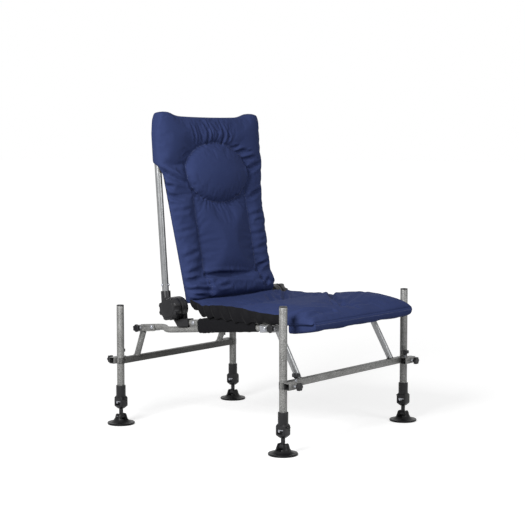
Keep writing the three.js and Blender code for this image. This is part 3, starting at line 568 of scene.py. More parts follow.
disc = drawn_up("foot_disc", 72, 0.0375, [
    (0.0437, 0.0012), (0.0445, 0.0032), (0.0445, 0.0056), (0.0434, 0.0072), (0.0415, 0.0074), (0.0385, 0.0070),
    (0.0340, 0.0078), (0.0290, 0.0104), (0.0245, 0.0142), (0.0214, 0.0185), (0.0196, 0.0240), (0.0180, 0.0300),
    (0.0160, 0.0338), (0.0130, 0.0350),
], rubber)
hollowed(disc, (0.09, 0.0178, 0.030), (0, 0, 0.0301))
for across in (-1, 1):
    hollowed(disc, (0.02, 0.06, 0.030), (across * 0.0212, 0, 0.0345))
rounded(disc, 0.0008)
pin = cylinder("pin", 24, 0.0025, 0.034, (0, 0, eye_z), zinc, along="Y")
pushed(pin, on_ends, (0, 0.0006))
head = cylinder("pin_head", 24, 0.0042, 0.0016, (0, 0.0178, eye_z), zinc, along="Y")
rounded(head, 0.0006)
joined(disc, joined(pin, head))

latch = cube("foot_latch", (0, -0.0172, latch_z), (0.0138, 0.0160, 0.0040), charcoal)
points = points_of(latch)
outer_end = points[:, 1] < -0.02
points[:, 0] *= np.where(outer_end, 0.6, 1)
points[:, 2] = np.where(outer_end, latch_z + (points[:, 2] - latch_z) * 0.7, points[:, 2])
set_points(latch, points)
rounded(latch, 0.0009, 3)
leaf = cube("leaf", (0, -0.0097, 0.0758), (0.012, 0.0015, 0.0185), zinc)
rounded(leaf, 0.0005)
joined(latch, leaf)

catch = cube("foot_catch", (-0.0118, 0.0005, 0.0752), (0.0022, 0.0206, 0.0022), zinc)
pushed(catch, underneath, (0.0002, 0))
fork = cube("fork", (-0.0118, 0.0062, 0.0712), (0.0022, 0.0064, 0.0062), zinc)
rounded(fork, 0.0006)
rounded(catch, 0.0006)
joined(catch, fork)

for (end, side), (x, y) in legs.items():
    spot = Matrix.Translation((x, y, 0))
    box_turn = spot @ Matrix.Rotation(math.pi if side == "left" else 0, 4, "Z")
    pad_turn = spot @ Matrix.Rotation(quarter if (end, side) == ("rear", "right") else 0, 4, "Z")
    where = f"_{end}_{side}"
    stands_for(copied(housing, "housing" + where, box_turn), "foot_housing" + where)
    stands_for(copied(latch, "latch" + where, box_turn), "foot_latch" + where)
    stands_for(copied(stem, "stem" + where, pad_turn), "foot_stem" + where)
    stands_for(copied(disc, "disc" + where, pad_turn), "foot_pad" + where)
    for letter, face_turn in (("a", 0), ("b", math.pi)):
        clip = copied(catch, f"catch{where}_{letter}", box_turn @ Matrix.Rotation(face_turn, 4, "Z"))
        rides(clip, bodies["foot_housing" + where])
for pattern in (housing, stem, disc, latch, catch):
    bpy.data.objects.remove(pattern)


# Side tubes. Round tube in hammered paint along each side of the seat, drawn inboard and up at the
# rear, with a black plug in both ends and the struts' bolts through it.
def bent_tube(name, radius, bend, space, route, paint):
    """A round tube along straight runs joined by arcs, drawn in a space of its own."""
    corners = [space @ Vector(corner) for corner in route]
    path = [corners[0]]
    for before, corner, after in zip(corners, corners[1:], corners[2:]):
        back, on = (before - corner).normalized(), (after - corner).normalized()
        half = back.angle(on) / 2
        centre = corner + (back + on).normalized() * bend / math.sin(half)
        first, last = (corner + way * bend / math.tan(half) - centre for way in (back, on))
        path += [centre + bend * first.slerp(last, step / 14) for step in range(15)]
    path.append(corners[-1])
    bpy.ops.curve.primitive_bezier_curve_add()
    line = bpy.context.object
    line.data.splines.clear()
    run = line.data.splines.new("POLY")
    run.points.add(len(path) - 1)
    run.points.foreach_set("co", [value for point in path for value in (*point, 1)])
    line.data.bevel_depth = radius
    line.data.bevel_resolution = 8
    line.data.use_fill_caps = True
    bpy.ops.object.convert(target="MESH")
    only(bpy.context.object)
    smooth(40)
    return settle(bpy.context.object, name, paint)


def aimed(place, way):
    """The move that stands a piece on a place, with its Z along a direction."""
    return Matrix.Translation(place) @ way.to_track_quat("Z", "Y").to_matrix().to_4x4()


def plug(name, radius, place, facing):
    """A domed black plug that closes a tube's end."""
    piece = cylinder(name, 40, radius, 0.003, (0, 0, 0), charcoal)
    pushed(piece, on_top, (0.0012, 0.0008), (0.003, 0.0004))
    rounded(piece, 0.0006)
    piece.data.transform(aimed(place, facing))
    return piece


def bolt_head(name, radius, rise, place, facing):
    """A low domed head of a rivet or bolt, with a dimple."""
    piece = cylinder(name, 32, radius, rise, (0, 0, 0), zinc)
    pushed(
        piece, on_top,
        (radius * 0.18, rise * 0.35), (radius * 0.25, rise * 0.2), (radius * 0.2, 0), (radius * 0.05, -rise * 0.3),
    )
    rounded(piece, rise * 0.12)
    smooth(60)
    piece.data.transform(aimed(place, facing))
    return piece


tube_x, rear_x, head_off = 0.246, 0.212, 0.0144
frame_bend, frame_radius = 0.058, 0.010
for side, across in sides.items():
    route = [
        (across * tube_x, -0.287, 0), (across * tube_x, 0.182, 0),
        (across * rear_x, 0.218, rear_rise), (across * rear_x, 0.322, rear_rise),
    ]
    tube = bent_tube(f"tube_side_{side}", frame_radius, frame_bend, on_seat, route, hammered_grey)
    stands_for(tube, f"side_tube_{side}")
    for end, corner, way in (("front", route[0], -1), ("rear", route[-1], 1)):
        facing = on_seat.to_3x3() @ Vector((0, way, 0))
        stopper = plug(f"tube_plug_{end}_{side}", 0.0094, on_seat @ Vector(corner), facing)
        rides(stopper, "seat")
    outboard = Vector((across, 0, 0))
    for end, off in (("front", tube_x + head_off), ("rear", rear_x + head_off)):
        place = on_seat @ Vector((across * off, *pivots[end]))
        head = bolt_head(f"pivot_head_{end}_{side}", bolt_radius, 0.0034, place, outboard)
        rides(head, end + "_frame")


# Seat tube. One U-shaped tube whose ends sit in the lower hinge castings, held there by rivets. Its
# front run drops a little, inside the pocket of the mat.
lift, dip = 0.0204, 0.0049
half_route = [(tube_x, 0.103, lift), (tube_x, -0.325, lift), (tube_x, -0.400, dip)]
route = [(-x, y, z) for x, y, z in half_route] + half_route[::-1]
tube = bent_tube("tube_seat", frame_radius, frame_bend, on_seat, route, hammered_grey)
stands_for(tube, "seat_tube")
for side, across in sides.items():
    place = on_seat @ Vector((across * 0.2556, 0.060, lift))
    rides(bolt_head(f"seat_rivet_{side}", 0.0058, 0.0026, place, Vector((across, 0, 0))), "seat")


# Sling. Heavy black cloth between the side tubes. Each edge is wrapped round the side tube and the
# seat tube and sewn to itself on the inside, so that it hangs tight and carries the mat.
def woven(place, columns, rows):
    """Plain weave of a set number of threads each way, with soft clouds and single paler threads."""
    uv = place.node("TexCoord", output="UV")
    warp, weft = (
        place.math("SINE", place.node("SeparateXYZ", inputs={0: uv}, output=axis) * (threads * 2 * math.pi))
        for axis, threads in enumerate((columns, rows))
    )
    weave = warp * weft * 0.5 + 0.5
    clouds, specks = place.noise(11.0, 4.0), place.noise(520.0, 2.0)
    tone = (clouds - 0.5) * 0.5 + (specks - 0.5) * 0.7 + (weave - 0.5) * 0.2 + 0.5
    return tone, clouds * 0.2 + 0.62, (weave + specks * 0.7).bump(0.22, 0.0004)


black_cloth = surface(
    "black_cloth", {"Specular IOR Level": 0.06, "Sheen Weight": 0.02},
    (0.0100, 0.0100, 0.0115), (0.0042, 0.0042, 0.0052), woven, 600, 300,
)
bpy.ops.mesh.primitive_grid_add(x_subdivisions=340, y_subdivisions=46, size=2)
sling = settle(bpy.context.object, "sling_cloth", black_cloth)
u, v, _ = points_of(sling).T
wrap, sleeve_length, sleeve_front = 0.0111, 0.230, -0.190
legs_of_path = [lift, math.pi * wrap, lift, math.pi * wrap / 2, tube_x]
marks = np.concatenate([[0], np.cumsum(legs_of_path)])
run = (1 - np.abs(u)) * marks[-1]
below = np.clip(run - marks[1], 0, legs_of_path[1]) / wrap
over = np.clip(run - marks[3], 0, legs_of_path[3]) / wrap
stages = [run < mark for mark in marks[1:5]]
x = np.select(
    stages, [np.full_like(run, -wrap), -wrap * np.cos(below), np.full_like(run, wrap), wrap * np.cos(over)],
    marks[4] - run,
)
z = np.select(
    stages, [lift - run, -wrap * np.sin(below), run - marks[2], lift + wrap * np.sin(over)],
    np.full_like(run, lift + wrap),
)
y = sleeve_front + sleeve_length * (v + 1) / 2
hold = np.where(run < marks[4], 1.0, np.exp(-(run - marks[4]) / 0.03))
pull = 1.7 * np.maximum(0, np.sin((y - run * 0.9) / 0.0027)) ** 2 * np.exp(-((y - 0.018) / 0.030) ** 2)
pull += 0.6 * np.maximum(0, np.sin((y * 1.3 - run * 0.5) / 0.0075)) ** 2 * np.exp(-((y + 0.15) / 0.05) ** 2)
puff = 0.0016 * pull * hold * unit(run / 0.02)
x += puff * np.where(run < marks[1], 0, unit(x / wrap))
z += puff * (run >= marks[3]) - puff * np.where(run < marks[2], unit(np.sin(below)), 0)
x = np.where(u < 0, -1, 1) * (tube_x + x)
set_points(sling, np.array([on_seat @ Vector(point) for point in zip(x, y, z)]))
shaped(sling, "SOLIDIFY", thickness=0.0011, offset=0)
faced_out(sling)
smooth(50)
stands_for(sling, "seat_sling")


# Hinges. Two castings of black glass-filled plastic turn face to face on one bolt. The lower one grips
# the seat tube and stands on the side tube, and the upper one holds the back tube.
casting_edge = 0.0011
for side in sides:
    lower = softened(f"hinge_base_{side}", f"hinge_lower_{side}", casting_edge, charcoal)
    points = points_of(lower)
    heel = (points[:, 2] < 0.352) & (points[:, 1] > 0.118)
    points[:, 1] -= np.where(heel, 0.016, 0)
    set_points(lower, points)
    stands_for(lower, f"hinge_base_{side}")
    upper = softened(f"hinge_arm_{side}", f"hinge_upper_{side}", casting_edge, charcoal)
    stands_for(upper, f"hinge_arm_{side}")


# Star knobs. A large moulded knob on each hinge bolt, with eight finger pockets round its rim and a
# raised disc on its face. The bolt ends in a zinc nut inboard.
star = cylinder("star_knob", 96, 0.0374, 0.0255, (0, 0, 0.03205), charcoal)
pushed(
    star, on_top,
    (0.0022, 0.0014), (0.0040, 0.0007), (0.0045, -0.0012), (0.0008, 0.0014), (0.0030, 0.0008), (0.010, 0.0003),
)
pushed(star, underneath, (0.0100, 0), (0.0003, 0.005))
lobed(star, 8, math.pi / 8, 0.028, 0.008, 0.026)
scoop_at = Vector((0.0428, 0, 0.0390))
scoop_lean = Matrix.Translation(scoop_at) @ Matrix.Rotation(math.radians(-20), 4, "Y") @ Matrix.Translation(-scoop_at)
scoops = []
for count in range(8):
    scoop = cube(f"scoop_{count}", scoop_at, (0.0185, 0.0178, 0.0300))
    shaped(scoop, "BEVEL", width=0.0060, segments=5, limit_method="NONE")
    scoop.data.transform(scoop_lean)
    scoop.data.transform(Matrix.Rotation(math.radians(45 * count), 4, "Z"))
    scoops.append(scoop)
scoops = joined(scoops[0], *scoops[1:])
shaped(star, "BOOLEAN", operation="DIFFERENCE", solver="EXACT", object=scoops)
bpy.data.objects.remove(scoops)
rounded(star, 0.0008, 2, 30)
nut = cylinder("nut", 6, 0.0088, 0.0068, (0, 0, -0.0178), zinc)
pushed(nut, underneath, (0.0014, 0.0005))
rounded(nut, 0.0005)
bolt = cylinder("bolt", 24, 0.0044, 0.040, (0, 0, -0.0016), zinc)
rounded(bolt, 0.0006)
joined(star, nut, bolt)
hinge_y, hinge_z = 0.1369, 0.39177
on_back = Matrix.Translation((0, hinge_y, hinge_z)) @ Matrix.Rotation(math.radians(-4.3), 4, "X")
for side, across in sides.items():
    place = on_back @ Matrix.Translation((across * tube_x, 0, 0)) @ Matrix.Rotation(across * quarter, 4, "Y")
    stands_for(copied(star, f"star_{side}", place), f"star_knob_{side}")
bpy.data.objects.remove(star)


# Back tube. One U-shaped tube of bright aluminium. Its ends are riveted in the upper hinge castings
# and its top bend carries the hood of the mat.
tube_off, foot, crest = 0.0435, 0.0290, 0.591
route = [(x, tube_off, z) for x, z in ((-tube_x, foot), (-tube_x, crest), (tube_x, crest), (tube_x, foot))]
tube = bent_tube("tube_back", 0.011, 0.090, on_back, route, bright_tube)
stands_for(tube, "back_tube")
for side, across in sides.items():
    for face, (x, y) in enumerate(((across, 0.35), (-across * 0.4, -1))):
        way = Vector((x, y, 0)).normalized()
        place = on_back @ (Vector((across * tube_x, tube_off, 0.073)) + way * 0.0106)
        rides(bolt_head(f"back_rivet_{side}_{face}", 0.0042, 0.0032, place, way), "backrest")


# Back mat. Navy polyester over soft filling, sewn through along two long seams and round an oval
# head pillow. Its hood slips over the top of the back tube and its foot folds in over the hinges.
navy_cloth = surface(
    "navy_cloth", {"Specular IOR Level": 0.03}, (0.036, 0.050, 0.130), (0.020, 0.030, 0.090), woven, 560, 640,
)
navy_thread = surface("navy_thread", {}, (0.060, 0.075, 0.16), (0.040, 0.052, 0.12), grained, 2400.0)


def padded_slab(name, columns, rows):
    """A closed flat pad of two layers; x and y of its points run from -1 to 1."""
    bpy.ops.object.select_all(action="DESELECT")
    bpy.ops.mesh.primitive_grid_add(x_subdivisions=columns, y_subdivisions=rows, size=2)
    pad = bpy.context.object
    pad.name = name
    shaped(pad, "SOLIDIFY", thickness=0.02, offset=0)
    return pad


def near(distance, spread):
    return np.exp(-(distance / spread) ** 2)


def fill(pad, sewn, pressure, growth, cap):
    """Holds the sewn points, lets the filling press the cloth out, and keeps what that gives."""
    group = pad.vertex_groups.new(name="sewn")
    for index, weight in enumerate(sewn):
        if weight > 0.02:
            group.add([index], float(min(1.0, weight)), "REPLACE")
    before = points_of(pad)
    cloth = pad.modifiers.new("filling", "CLOTH")
    for name, value in {
        "vertex_group_mass": "sewn", "quality": 4, "mass": 0.25, "tension_stiffness": 12,
        "compression_stiffness": 8, "shear_stiffness": 5, "bending_stiffness": 0.25, "use_pressure": True,
        "uniform_pressure_force": pressure, "shrink_min": -growth,
    }.items():
        setattr(cloth.settings, name, value)
    cloth.settings.effector_weights.gravity = 0
    cloth.collision_settings.use_collision = False
    last_frame = 16
    for step in range(1, last_frame + 1):
        scene.frame_set(step)
    shown = pad.evaluated_get(bpy.context.evaluated_depsgraph_get())
    move = points_of(shown) - before
    pad.modifiers.remove(cloth)
    scene.frame_set(1)
    length = np.linalg.norm(move, axis=1, keepdims=True)
    set_points(pad, before + move * np.minimum(1, cap / np.maximum(length, 1e-9)))
    pad.vertex_groups.remove(group)


def refined(pad):
    shaped(pad, "SUBSURF", levels=1, render_levels=1)
    bpy.ops.object.shade_smooth()


def distance_to(line, across, along):
    """Distance of each point from a drawn line, and how far along the line it lies."""
    best = np.full(len(across), 1e9)
    share = np.zeros(len(across))
    for count, (a, b) in enumerate(zip(line, line[1:])):
        a, b = np.array(a), np.array(b)
        run = b - a
        t = unit(((across - a[0]) * run[0] + (along - a[1]) * run[1]) / (run @ run))
        gap = np.hypot(across - a[0] - t * run[0], along - a[1] - t * run[1])
        share = np.where(gap < best, (count + t) / (len(line) - 1), share)
        best = np.minimum(best, gap)
    return best, share


def folds(across, along, drawn):
    """How far each point moves for folds: depth, width and the line's points in mm. A fold has raised banks."""
    move = np.zeros(len(across))
    for depth, width, *line in drawn:
        line = [(a / 1000, b / 1000) for a, b in zip(line[::2], line[1::2])]
        gap, share = distance_to(line, across, along)
        fade = np.sin(np.pi * unit(share * 0.82 + 0.16)) ** 0.7
        width = width / 1000 * (0.6 + 0.4 * fade)
        move += depth / 1000 * fade * (0.6 * near(gap - 2.0 * width, 1.0 * width) - near(gap, width))
    return move


mat_length, mat_foot, mat_half, mat_lean = 0.609, 0.012, 0.269, 0.073
back_edges = np.array([
    (-10, -260, 805), (65, -170, 810), (303, 185, 845), (409, 356, 860), (581, 637, 880), (687, 736, 915),
    (741, 904, 968), (892, 1000, 965), (960, 985, 940), (1000, 959, 900),
]) / 1000


def back_edge(z):
    """How far back the mat's edge lies at a height, and half its width there."""
    share = (z - hinge_z) / mat_length
    reach, width = (np.interp(share, back_edges[:, 0], column) for column in back_edges.T[1:])
    return hinge_y + mat_lean * reach, mat_half * width


pillow_z, pillow_half, pillow_high = 0.8138, 0.152, 0.097
seam_x, roll_z = 0.133, 0.4405


def pillow_oval(x, z):
    """1 on the seam round the head pillow, less inside it, and about the metres off that seam."""
    oval = np.sqrt((x / pillow_half) ** 2 + ((z - pillow_z) / pillow_high) ** 2)
    return oval, (oval - 1) * 0.12


back_mat = padded_slab("back_cushion", 96, 108)
u, v, layer = points_of(back_mat).T
z = hinge_z + mat_foot + (mat_length - mat_foot) * (v + 1) / 2
edge_y, half = back_edge(z)
ear = 0.011 * near(np.abs(u) - 0.88, 0.15) - 0.006 * (1 - u ** 2)
z = z + ear * unit(((v + 1) / 2 - 0.7) / 0.3)
x = u * half
rim = ((1 - u ** 12) * (1 - unit(v) ** 12)) ** 0.5
full = ((1 - u ** 30) * (1 - unit(v) ** 30)) ** 0.5
oval, off_ring = pillow_oval(x, z)
head = 0.024 * unit(1 - oval ** 2) ** 0.5
roll_off = (z - roll_z) / np.where(z < roll_z, 0.0265, 0.038)
roll = 0.030 * unit(1 - roll_off ** 2) ** 0.6 * unit(1.25 * (1 - (x / 0.235) ** 6))
roll *= 1 - 0.45 * unit((np.abs(x) - 0.125) / 0.02)
seam_gap = np.abs(np.abs(x) - seam_x)
below_pillow = unit((0.775 - z) / 0.04)
valley = 0.006 * near(seam_gap, 0.010) * below_pillow + 0.007 * near(off_ring, 0.010)
front = edge_y - 0.020 * (0.15 + 0.85 * rim) - head - roll + valley
hood = unit((z - 0.838) / 0.010)
tube_y = hinge_y + 0.0434 + (z - hinge_z) * 0.0752
back = edge_y + 0.010 * (0.3 + 0.7 * rim)
back += hood * (tube_y + 0.0165 - 0.010 * (1 - full) - back)
set_points(back_mat, np.column_stack([x, np.where(layer > 0, front, back), z]))
sewn = np.maximum(near(seam_gap, 0.004) * below_pillow, near(off_ring, 0.004))
sewn = np.maximum(sewn, np.maximum(np.abs(u) > 0.99, np.abs(v) > 0.99))
under_roll = near(z - 0.4125, 0.004) * (np.abs(x) < 0.15) + 0.35 * near(z - 0.482, 0.006) * (np.abs(x) < 0.12)
sewn = np.where(layer > 0, np.maximum(sewn, under_roll), np.maximum(sewn, np.where(z > 0.83, 0.97, 0.7)))
fill(back_mat, sewn, 4.2, 0.02, 0.022)
refined(back_mat)

x, y, z = points_of(back_mat).T
normal = points_of(back_mat, "normal")
facing = unit(-normal[:, 1] * 1.6)
around = np.arctan2(z - pillow_z, x)
oval, off_ring = pillow_oval(x, z)
reach = 0.016 + 0.006 * np.sin(5 * around + 1) + 0.005 * np.sin(11 * around)
ripple = np.sin(46 * around + 1.5 * np.sin(3 * around))
puckered = np.where(off_ring > 0, near(off_ring - 0.004, reach), 0.5 * near(off_ring + 0.003, 0.007))
move = 0.0011 * ripple * puckered
seam_off = np.abs(x) - seam_x
pucker = np.sin(z / 0.0034 + 2 * np.sin(z / 0.03)) * unit((0.77 - z) / 0.03)
move += 0.0007 * pucker * near(np.abs(seam_off) - 0.006, 0.007)
deepest = 1.8 + np.where(x < 0, 0.9, 0.3) * unit((0.53 - z) / 0.03)
move += deepest * folds(x, z, [
    (1.8, 5, -99, 914, -108, 950, -117, 979), (1.6, 4, -80, 914, -92, 952), (1.6, 4, -59, 914, -71, 953),
    (3.4, 6, -35, 908, -33, 953, -56, 988), (2, 4, -13, 910, -17, 953, -35, 985),
    (2.2, 5, 8, 910, 18, 945, -13, 980), (3.6, 6, 37, 906, 48, 943, 32, 995), (2.2, 5, 59, 904, 74, 932, 36, 1000),
    (2, 5, 93, 894, 128, 901), (3.2, 6, 112, 879, 167, 887), (2.2, 5, 130, 869, 189, 886),
    (3.4, 6, 136, 854, 206, 865), (2, 5, 143, 840, 172, 845), (4.2, 7, 140, 815, 180, 826, 235, 844),
    (4.4, 9, -262, 826, -230, 806, -171, 782), (2, 6, -250, 778, -222, 772),
    (3.6, 7, -246, 747, -225, 740, -190, 732), (3.4, 7, 148, 728, 170, 738, 225, 756),
    (1.6, 6, 63, 738, 100, 730, 128, 728), (1.2, 5, 27, 716, 71, 706), (0.5, 5, -22, 714, -16, 684),
    (1.8, 5, -160, 869, -129, 880), (2.2, 6, -200, 824, -160, 804), (2.2, 6, -150, 770, -120, 744, -100, 735),
    (2.6, 6, -240, 443, -177, 448, -134, 440), (2, 5, -214, 434, -161, 425), (2.2, 5, -190, 462, -129, 461),
    (2.2, 6, -115, 455, -47, 453), (2.6, 6, 132, 495, 160, 502, 205, 518), (1.8, 5, 124, 486, 160, 490),
    (2.6, 6, 80, 463, 120, 462, 170, 455), (2.6, 6, 137, 436, 173, 455, 212, 432), (1.6, 7, -222, 693, -157, 702),
    (1.6, 7, -223, 626, -147, 644), (1.6, 7, -215, 551, -139, 569), (1.6, 7, -212, 499, -143, 513),
    (1.8, 7, 138, 668, 226, 683), (1.6, 7, 138, 604, 224, 616), (1.8, 7, 138, 556, 222, 569),
    (3.2, 8, -128, 486, -67, 486, 41, 478, 126, 470), (2.6, 6, -128, 462, -96, 470, -60, 474),
    (2.2, 7, -226, 470, -180, 476, -140, 470),
])
side_waves = np.sin(z / 0.0105 + 3 * np.sin(x / 0.09)) * near(np.abs(x) - 0.200, 0.03)
move += 0.0016 * side_waves * unit((0.76 - z) / 0.05)
set_points(back_mat, points_of(back_mat) + normal * (move * facing)[:, None])
settle(back_mat, "back_cushion", navy_cloth, black_cloth)
for face in back_mat.data.polygons:
    low_rear = face.normal.y > 0.25 and face.center.z < 0.835
    face.material_index = 1 if low_rear else 0
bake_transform(back_mat)
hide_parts("back_mat", "lumbar_pad")


def stitched(name, cushion, line):
    """A row of stitches laid on the front of a cushion along a line of places (x, z)."""
    pitch, half_stitch, thread_radius, lifted = 0.0052, 0.32 * 0.0052, 0.00042, 0.0002
    points = points_of(cushion)
    front = points[points_of(cushion, "normal")[:, 1] < -0.2]
    line = np.array(line)
    steps = np.linalg.norm(np.diff(line, axis=0), axis=1)
    marks = np.concatenate([[0], np.cumsum(steps)])
    stitches = []
    for place in np.arange(pitch / 2, marks[-1], pitch):
        on = []
        for shift in (-half_stitch, half_stitch):
            x, z = (np.interp(place + shift, marks, line[:, axis]) for axis in (0, 1))
            close = front[np.argmin((front[:, 0] - x) ** 2 + (front[:, 2] - z) ** 2)]
            on.append(Vector((x, close[1] - lifted, z)))
        span = on[1] - on[0]
        bpy.ops.mesh.primitive_cylinder_add(vertices=6, radius=thread_radius, depth=span.length + 0.0004)
        stitch = bpy.context.object
        stitch.data.transform(aimed((on[0] + on[1]) / 2, span))
        stitches.append(stitch)
    piece = joined(stitches[0], *stitches[1:])
    bpy.ops.object.shade_smooth()
    return settle(piece, name, navy_thread)


turns = np.linspace(0, 2 * math.pi, 121)
oval_line = [(pillow_half * math.cos(a), pillow_z + pillow_high * math.sin(a)) for a in turns]
pillow_row = stitched("pillow_stitching", back_mat, oval_line)
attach(pillow_row, "backrest")
seams = [stitched(f"seam_{x < 0}", back_mat, [(x, 0.768), (x, 0.412)]) for x in (-seam_x, seam_x)]
seam_rows = settle(joined(*seams), "seam_stitching", navy_thread)
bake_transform(seam_rows)


# Seat mat. The same navy cloth over filling, black underneath and up its gathered sides, drawn down
# by a tuft near the front. It lies on the sling and meets the foot of the back mat at the rear.
seat_marks = np.array([
    (-413, 388.5, 385, 380, 383.5, 985, 3), (-406, 396, 386, 379, 387, 992, 4),
    (-396, 402, 388, 378, 389.5, 992, 5), (-371, 408.5, 392.5, 374.5, 390.5, 990, 7),
    (-342, 412, 397.5, 371, 394, 985, 8), (-312, 413.5, 401, 368.5, 397, 978, 9),
    (-270, 413.5, 400, 368.5, 393.5, 974, 10), (-203, 411.5, 403, 367.5, 387.5, 974, 9),
    (-157, 409.5, 409, 363, 385, 966, 6), (-106, 397, 415, 364, 380, 964, 3),
    (-40, 395, 415, 371, 373.5, 955, 4), (10, 396.5, 409, 372, 370.5, 940, 6), (30, 397, 406, 378, 373, 925, 7),
    (62, 397.5, 411, 388, 385, 862, 7), (100, 411, 419, 404, 401, 825, 3),
]) / 1000
seat_mat = settle(padded_slab("seat_cushion", 112, 96), "seat_cushion", navy_cloth, black_cloth)
for face in seat_mat.data.polygons:
    face.material_index = 1 if face.center.z < 0.009 and face.center.y > -0.58 else 0
u, v, layer = points_of(seat_mat).T
seat_front, seat_length, seat_half = -0.413, 0.513, 0.272
tuft_x, tuft_y = -0.008, -0.335
y = seat_front + seat_length * (v + 1) / 2
middle, seam, hem, rest, width, far = (np.interp(y, seat_marks[:, 0], column) for column in seat_marks.T[1:])
half = seat_half * width
seam = seam - 0.008 * (u > 0) * unit((y + 0.30) / 0.1) * np.abs(u)
lean = unit((u - 0.25) / 0.5)
rim = (1 - np.abs(u) ** 9) ** 0.5
crown = middle + far * lean ** 2 * (3 - 2 * lean)
top = seam + 0.0015 + (crown - seam) * rim + 0.004 * (rim - rim ** 3)
top = top - 0.012 * near(np.hypot(u * half - tuft_x, y - tuft_y), 0.022)
top = top + 0.005 * near(np.hypot(u * half - 0.13, y + 0.27), 0.07)
size = np.abs(u)
tuck = 0.006 * unit((-0.315 - y) / 0.04)
steps = np.array([0, 0.84, 0.875, 0.905, 0.93, 0.955, 0.98, 1])
under_x = np.stack([
    0 * half, half - 0.0175, half - 0.0065, half - 0.0036, half - 0.0012 - tuck, half + 0.0022 - 0.3 * tuck,
    half + 0.0052, half,
])
under_z = np.stack([
    rest, rest, rest - 0.002, rest + 0.55 * (hem - rest), hem, hem + 0.22 * (seam - hem),
    hem + 0.62 * (seam - hem), seam - 0.0015,
])
place = np.clip(np.searchsorted(steps, size, side="right") - 1, 0, 6)
share = (size - steps[place]) / (steps[place + 1] - steps[place])
every = np.arange(len(size))
across, low = (
    way[place, every] * (1 - share) + way[place + 1, every] * share for way in (under_x, under_z)
)
low = np.minimum(low, top - 0.002)
x = np.where(layer > 0, size * half, across) * np.sign(u)
set_points(seat_mat, np.column_stack([x, y, np.where(layer > 0, top, low)]))
tuft = near(np.hypot(x - tuft_x, y - tuft_y), 0.009)
sewn = np.maximum(np.maximum(size > 0.985, np.abs(v) > 0.985), tuft)
crease = [(tuft_x, tuft_y), (0.053, -0.263), (0.093, -0.223), (0.186, -0.153), (0.262, -0.100)]
gap, share = distance_to(crease, x, y)
sewn = np.maximum(sewn, 0.85 * near(gap, 0.006) * (1 - 0.3 * share))
sewn = np.where(layer > 0, sewn, 1.0)
fill(seat_mat, sewn, 3.0, 0.01, 0.012)
shaped(seat_mat, "SMOOTH", factor=0.5, iterations=3)
refined(seat_mat)

x, y, z = points_of(seat_mat).T
normal = points_of(seat_mat, "normal")
facing = unit(normal[:, 2] * 1.6)
move = folds(x, y, [
    (7, 9, -14, -343, 53, -263, 93, -223, 186, -153, 232, -121),
    (3.4, 9, -6, -335, 60, -318, 140, -290, 235, -262), (2.6, 7, -30, -325, 15, -273, 60, -226),
    (3.4, 7, 90, -160, 170, -110, 250, -70), (2.2, 6, -60, -368, -30, -352, -8, -337),
    (2, 6, -90, -340, -40, -342, -8, -336), (1.6, 6, 10, -360, 60, -368, 110, -362),
    (1.6, 6, -120, -305, -50, -320, -10, -332), (5.5, 9, -120, -378, -190, -366, -262, -336),
    (4, 8, -256, -385, -180, -380, -110, -388),
    (2.5, 14, -262, -172, -150, -118, -90, -106, -45, -108, 42, -98, 150, -70, 245, -50),
    (4, 7, -191, -105, -150, -50, -110, 20), (4, 7, -145, -95, -110, -45, -60, 35),
    (4, 7, -100, -84, -50, -30, 5, 40), (4, 7, -42, -87, 50, 0, 120, 66), (4, 7, -22, -103, 60, -22, 135, 52),
    (4, 7, 81, -23, 140, 38, 185, 80), (3.2, 8, -230, 46, -170, 40, -100, 46),
    (8, 8, 0, -104, 115, -14, 222, 70),
])
slant = y - 0.45 * (z - 0.40)
gather = np.sin(2 * math.pi * slant / 0.041 + 1.5 * np.sin(slant / 0.06)) + 0.3 * np.sin(2 * math.pi * slant / 0.026)
edge = near(np.abs(x) / 0.262 - 0.95, 0.07) * unit((y + 0.33) / 0.05)
move += 0.0009 * gather * edge
side = unit(np.abs(normal[:, 0]) * 1.4)
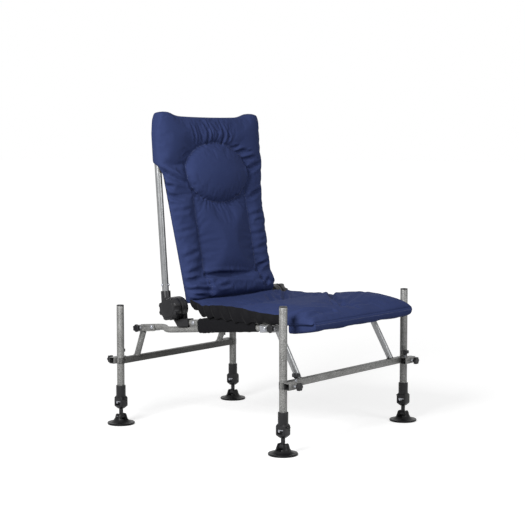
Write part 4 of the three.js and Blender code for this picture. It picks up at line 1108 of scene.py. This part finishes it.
low = unit(-normal[:, 2] * 1.4) * unit((np.abs(x) - 0.20) / 0.02)
ruck = 0.0036 * gather * np.maximum(side, low) * unit((y + 0.29) / 0.03)
set_points(seat_mat, points_of(seat_mat) + normal * (move * facing + ruck * (1 - facing))[:, None])
stands_for(seat_mat, "seat_mat")


# Front pocket. A band of the same navy cloth sewn along the front edge of the seat mat. It slopes
# back under the front of the seat tube, and its ends turn up towards the mat.
bpy.ops.mesh.primitive_grid_add(x_subdivisions=190, y_subdivisions=40, size=2)
pocket = settle(bpy.context.object, "front_pocket", navy_cloth)
u, v, _ = points_of(pocket).T
share = (v + 1) / 2
profile = np.array([
    (-409.5, 388), (-415, 383), (-416.8, 374), (-414.5, 365.5), (-406, 360.8), (-385, 357), (-360, 353),
    (-334, 349.2), (-318, 349),
]) / 1000
reach = np.concatenate([[0], np.cumsum(np.linalg.norm(np.diff(profile, axis=0), axis=1))])
y, z = (np.interp(share * reach[-1], reach, profile[:, axis]) for axis in (0, 1))
edge_z = np.interp(y, (-0.4135, -0.400, -0.371, -0.334, -0.318), (0.3850, 0.3825, 0.3790, 0.3755, 0.3740))
turn_from, flat_half = 0.94, 0.254
turn_up = unit((np.abs(u) - turn_from) / 0.06)
slack = np.sin(np.pi * unit(share * 1.1 - 0.05)) * (1 - turn_up)
z = z - 0.0015 * slack * np.sin(u * 11) - 0.0008 * slack * np.sin(u * 29 + 1)
y = y - 0.0009 * slack * np.sin(u * 17 + 2)
z = z + (edge_z - z) * unit((turn_up - 0.12) / 0.88) ** 1.1
outer = flat_half + 0.0078 * unit(turn_up * 3)
x = np.where(np.abs(u) < turn_from, np.abs(u) / turn_from * flat_half, outer) * np.sign(u)
set_points(pocket, np.column_stack([x, y, z]))
shaped(pocket, "SMOOTH", factor=0.5, iterations=2)
shaped(pocket, "SOLIDIFY", thickness=0.0014, offset=0)
faced_out(pocket)
smooth(50)
rides(pocket, "seat")
row_half, row_z = 0.262, 0.3800
rides(stitched("front_stitching", pocket, [(-row_half, row_z), (row_half, row_z)]), "seat")
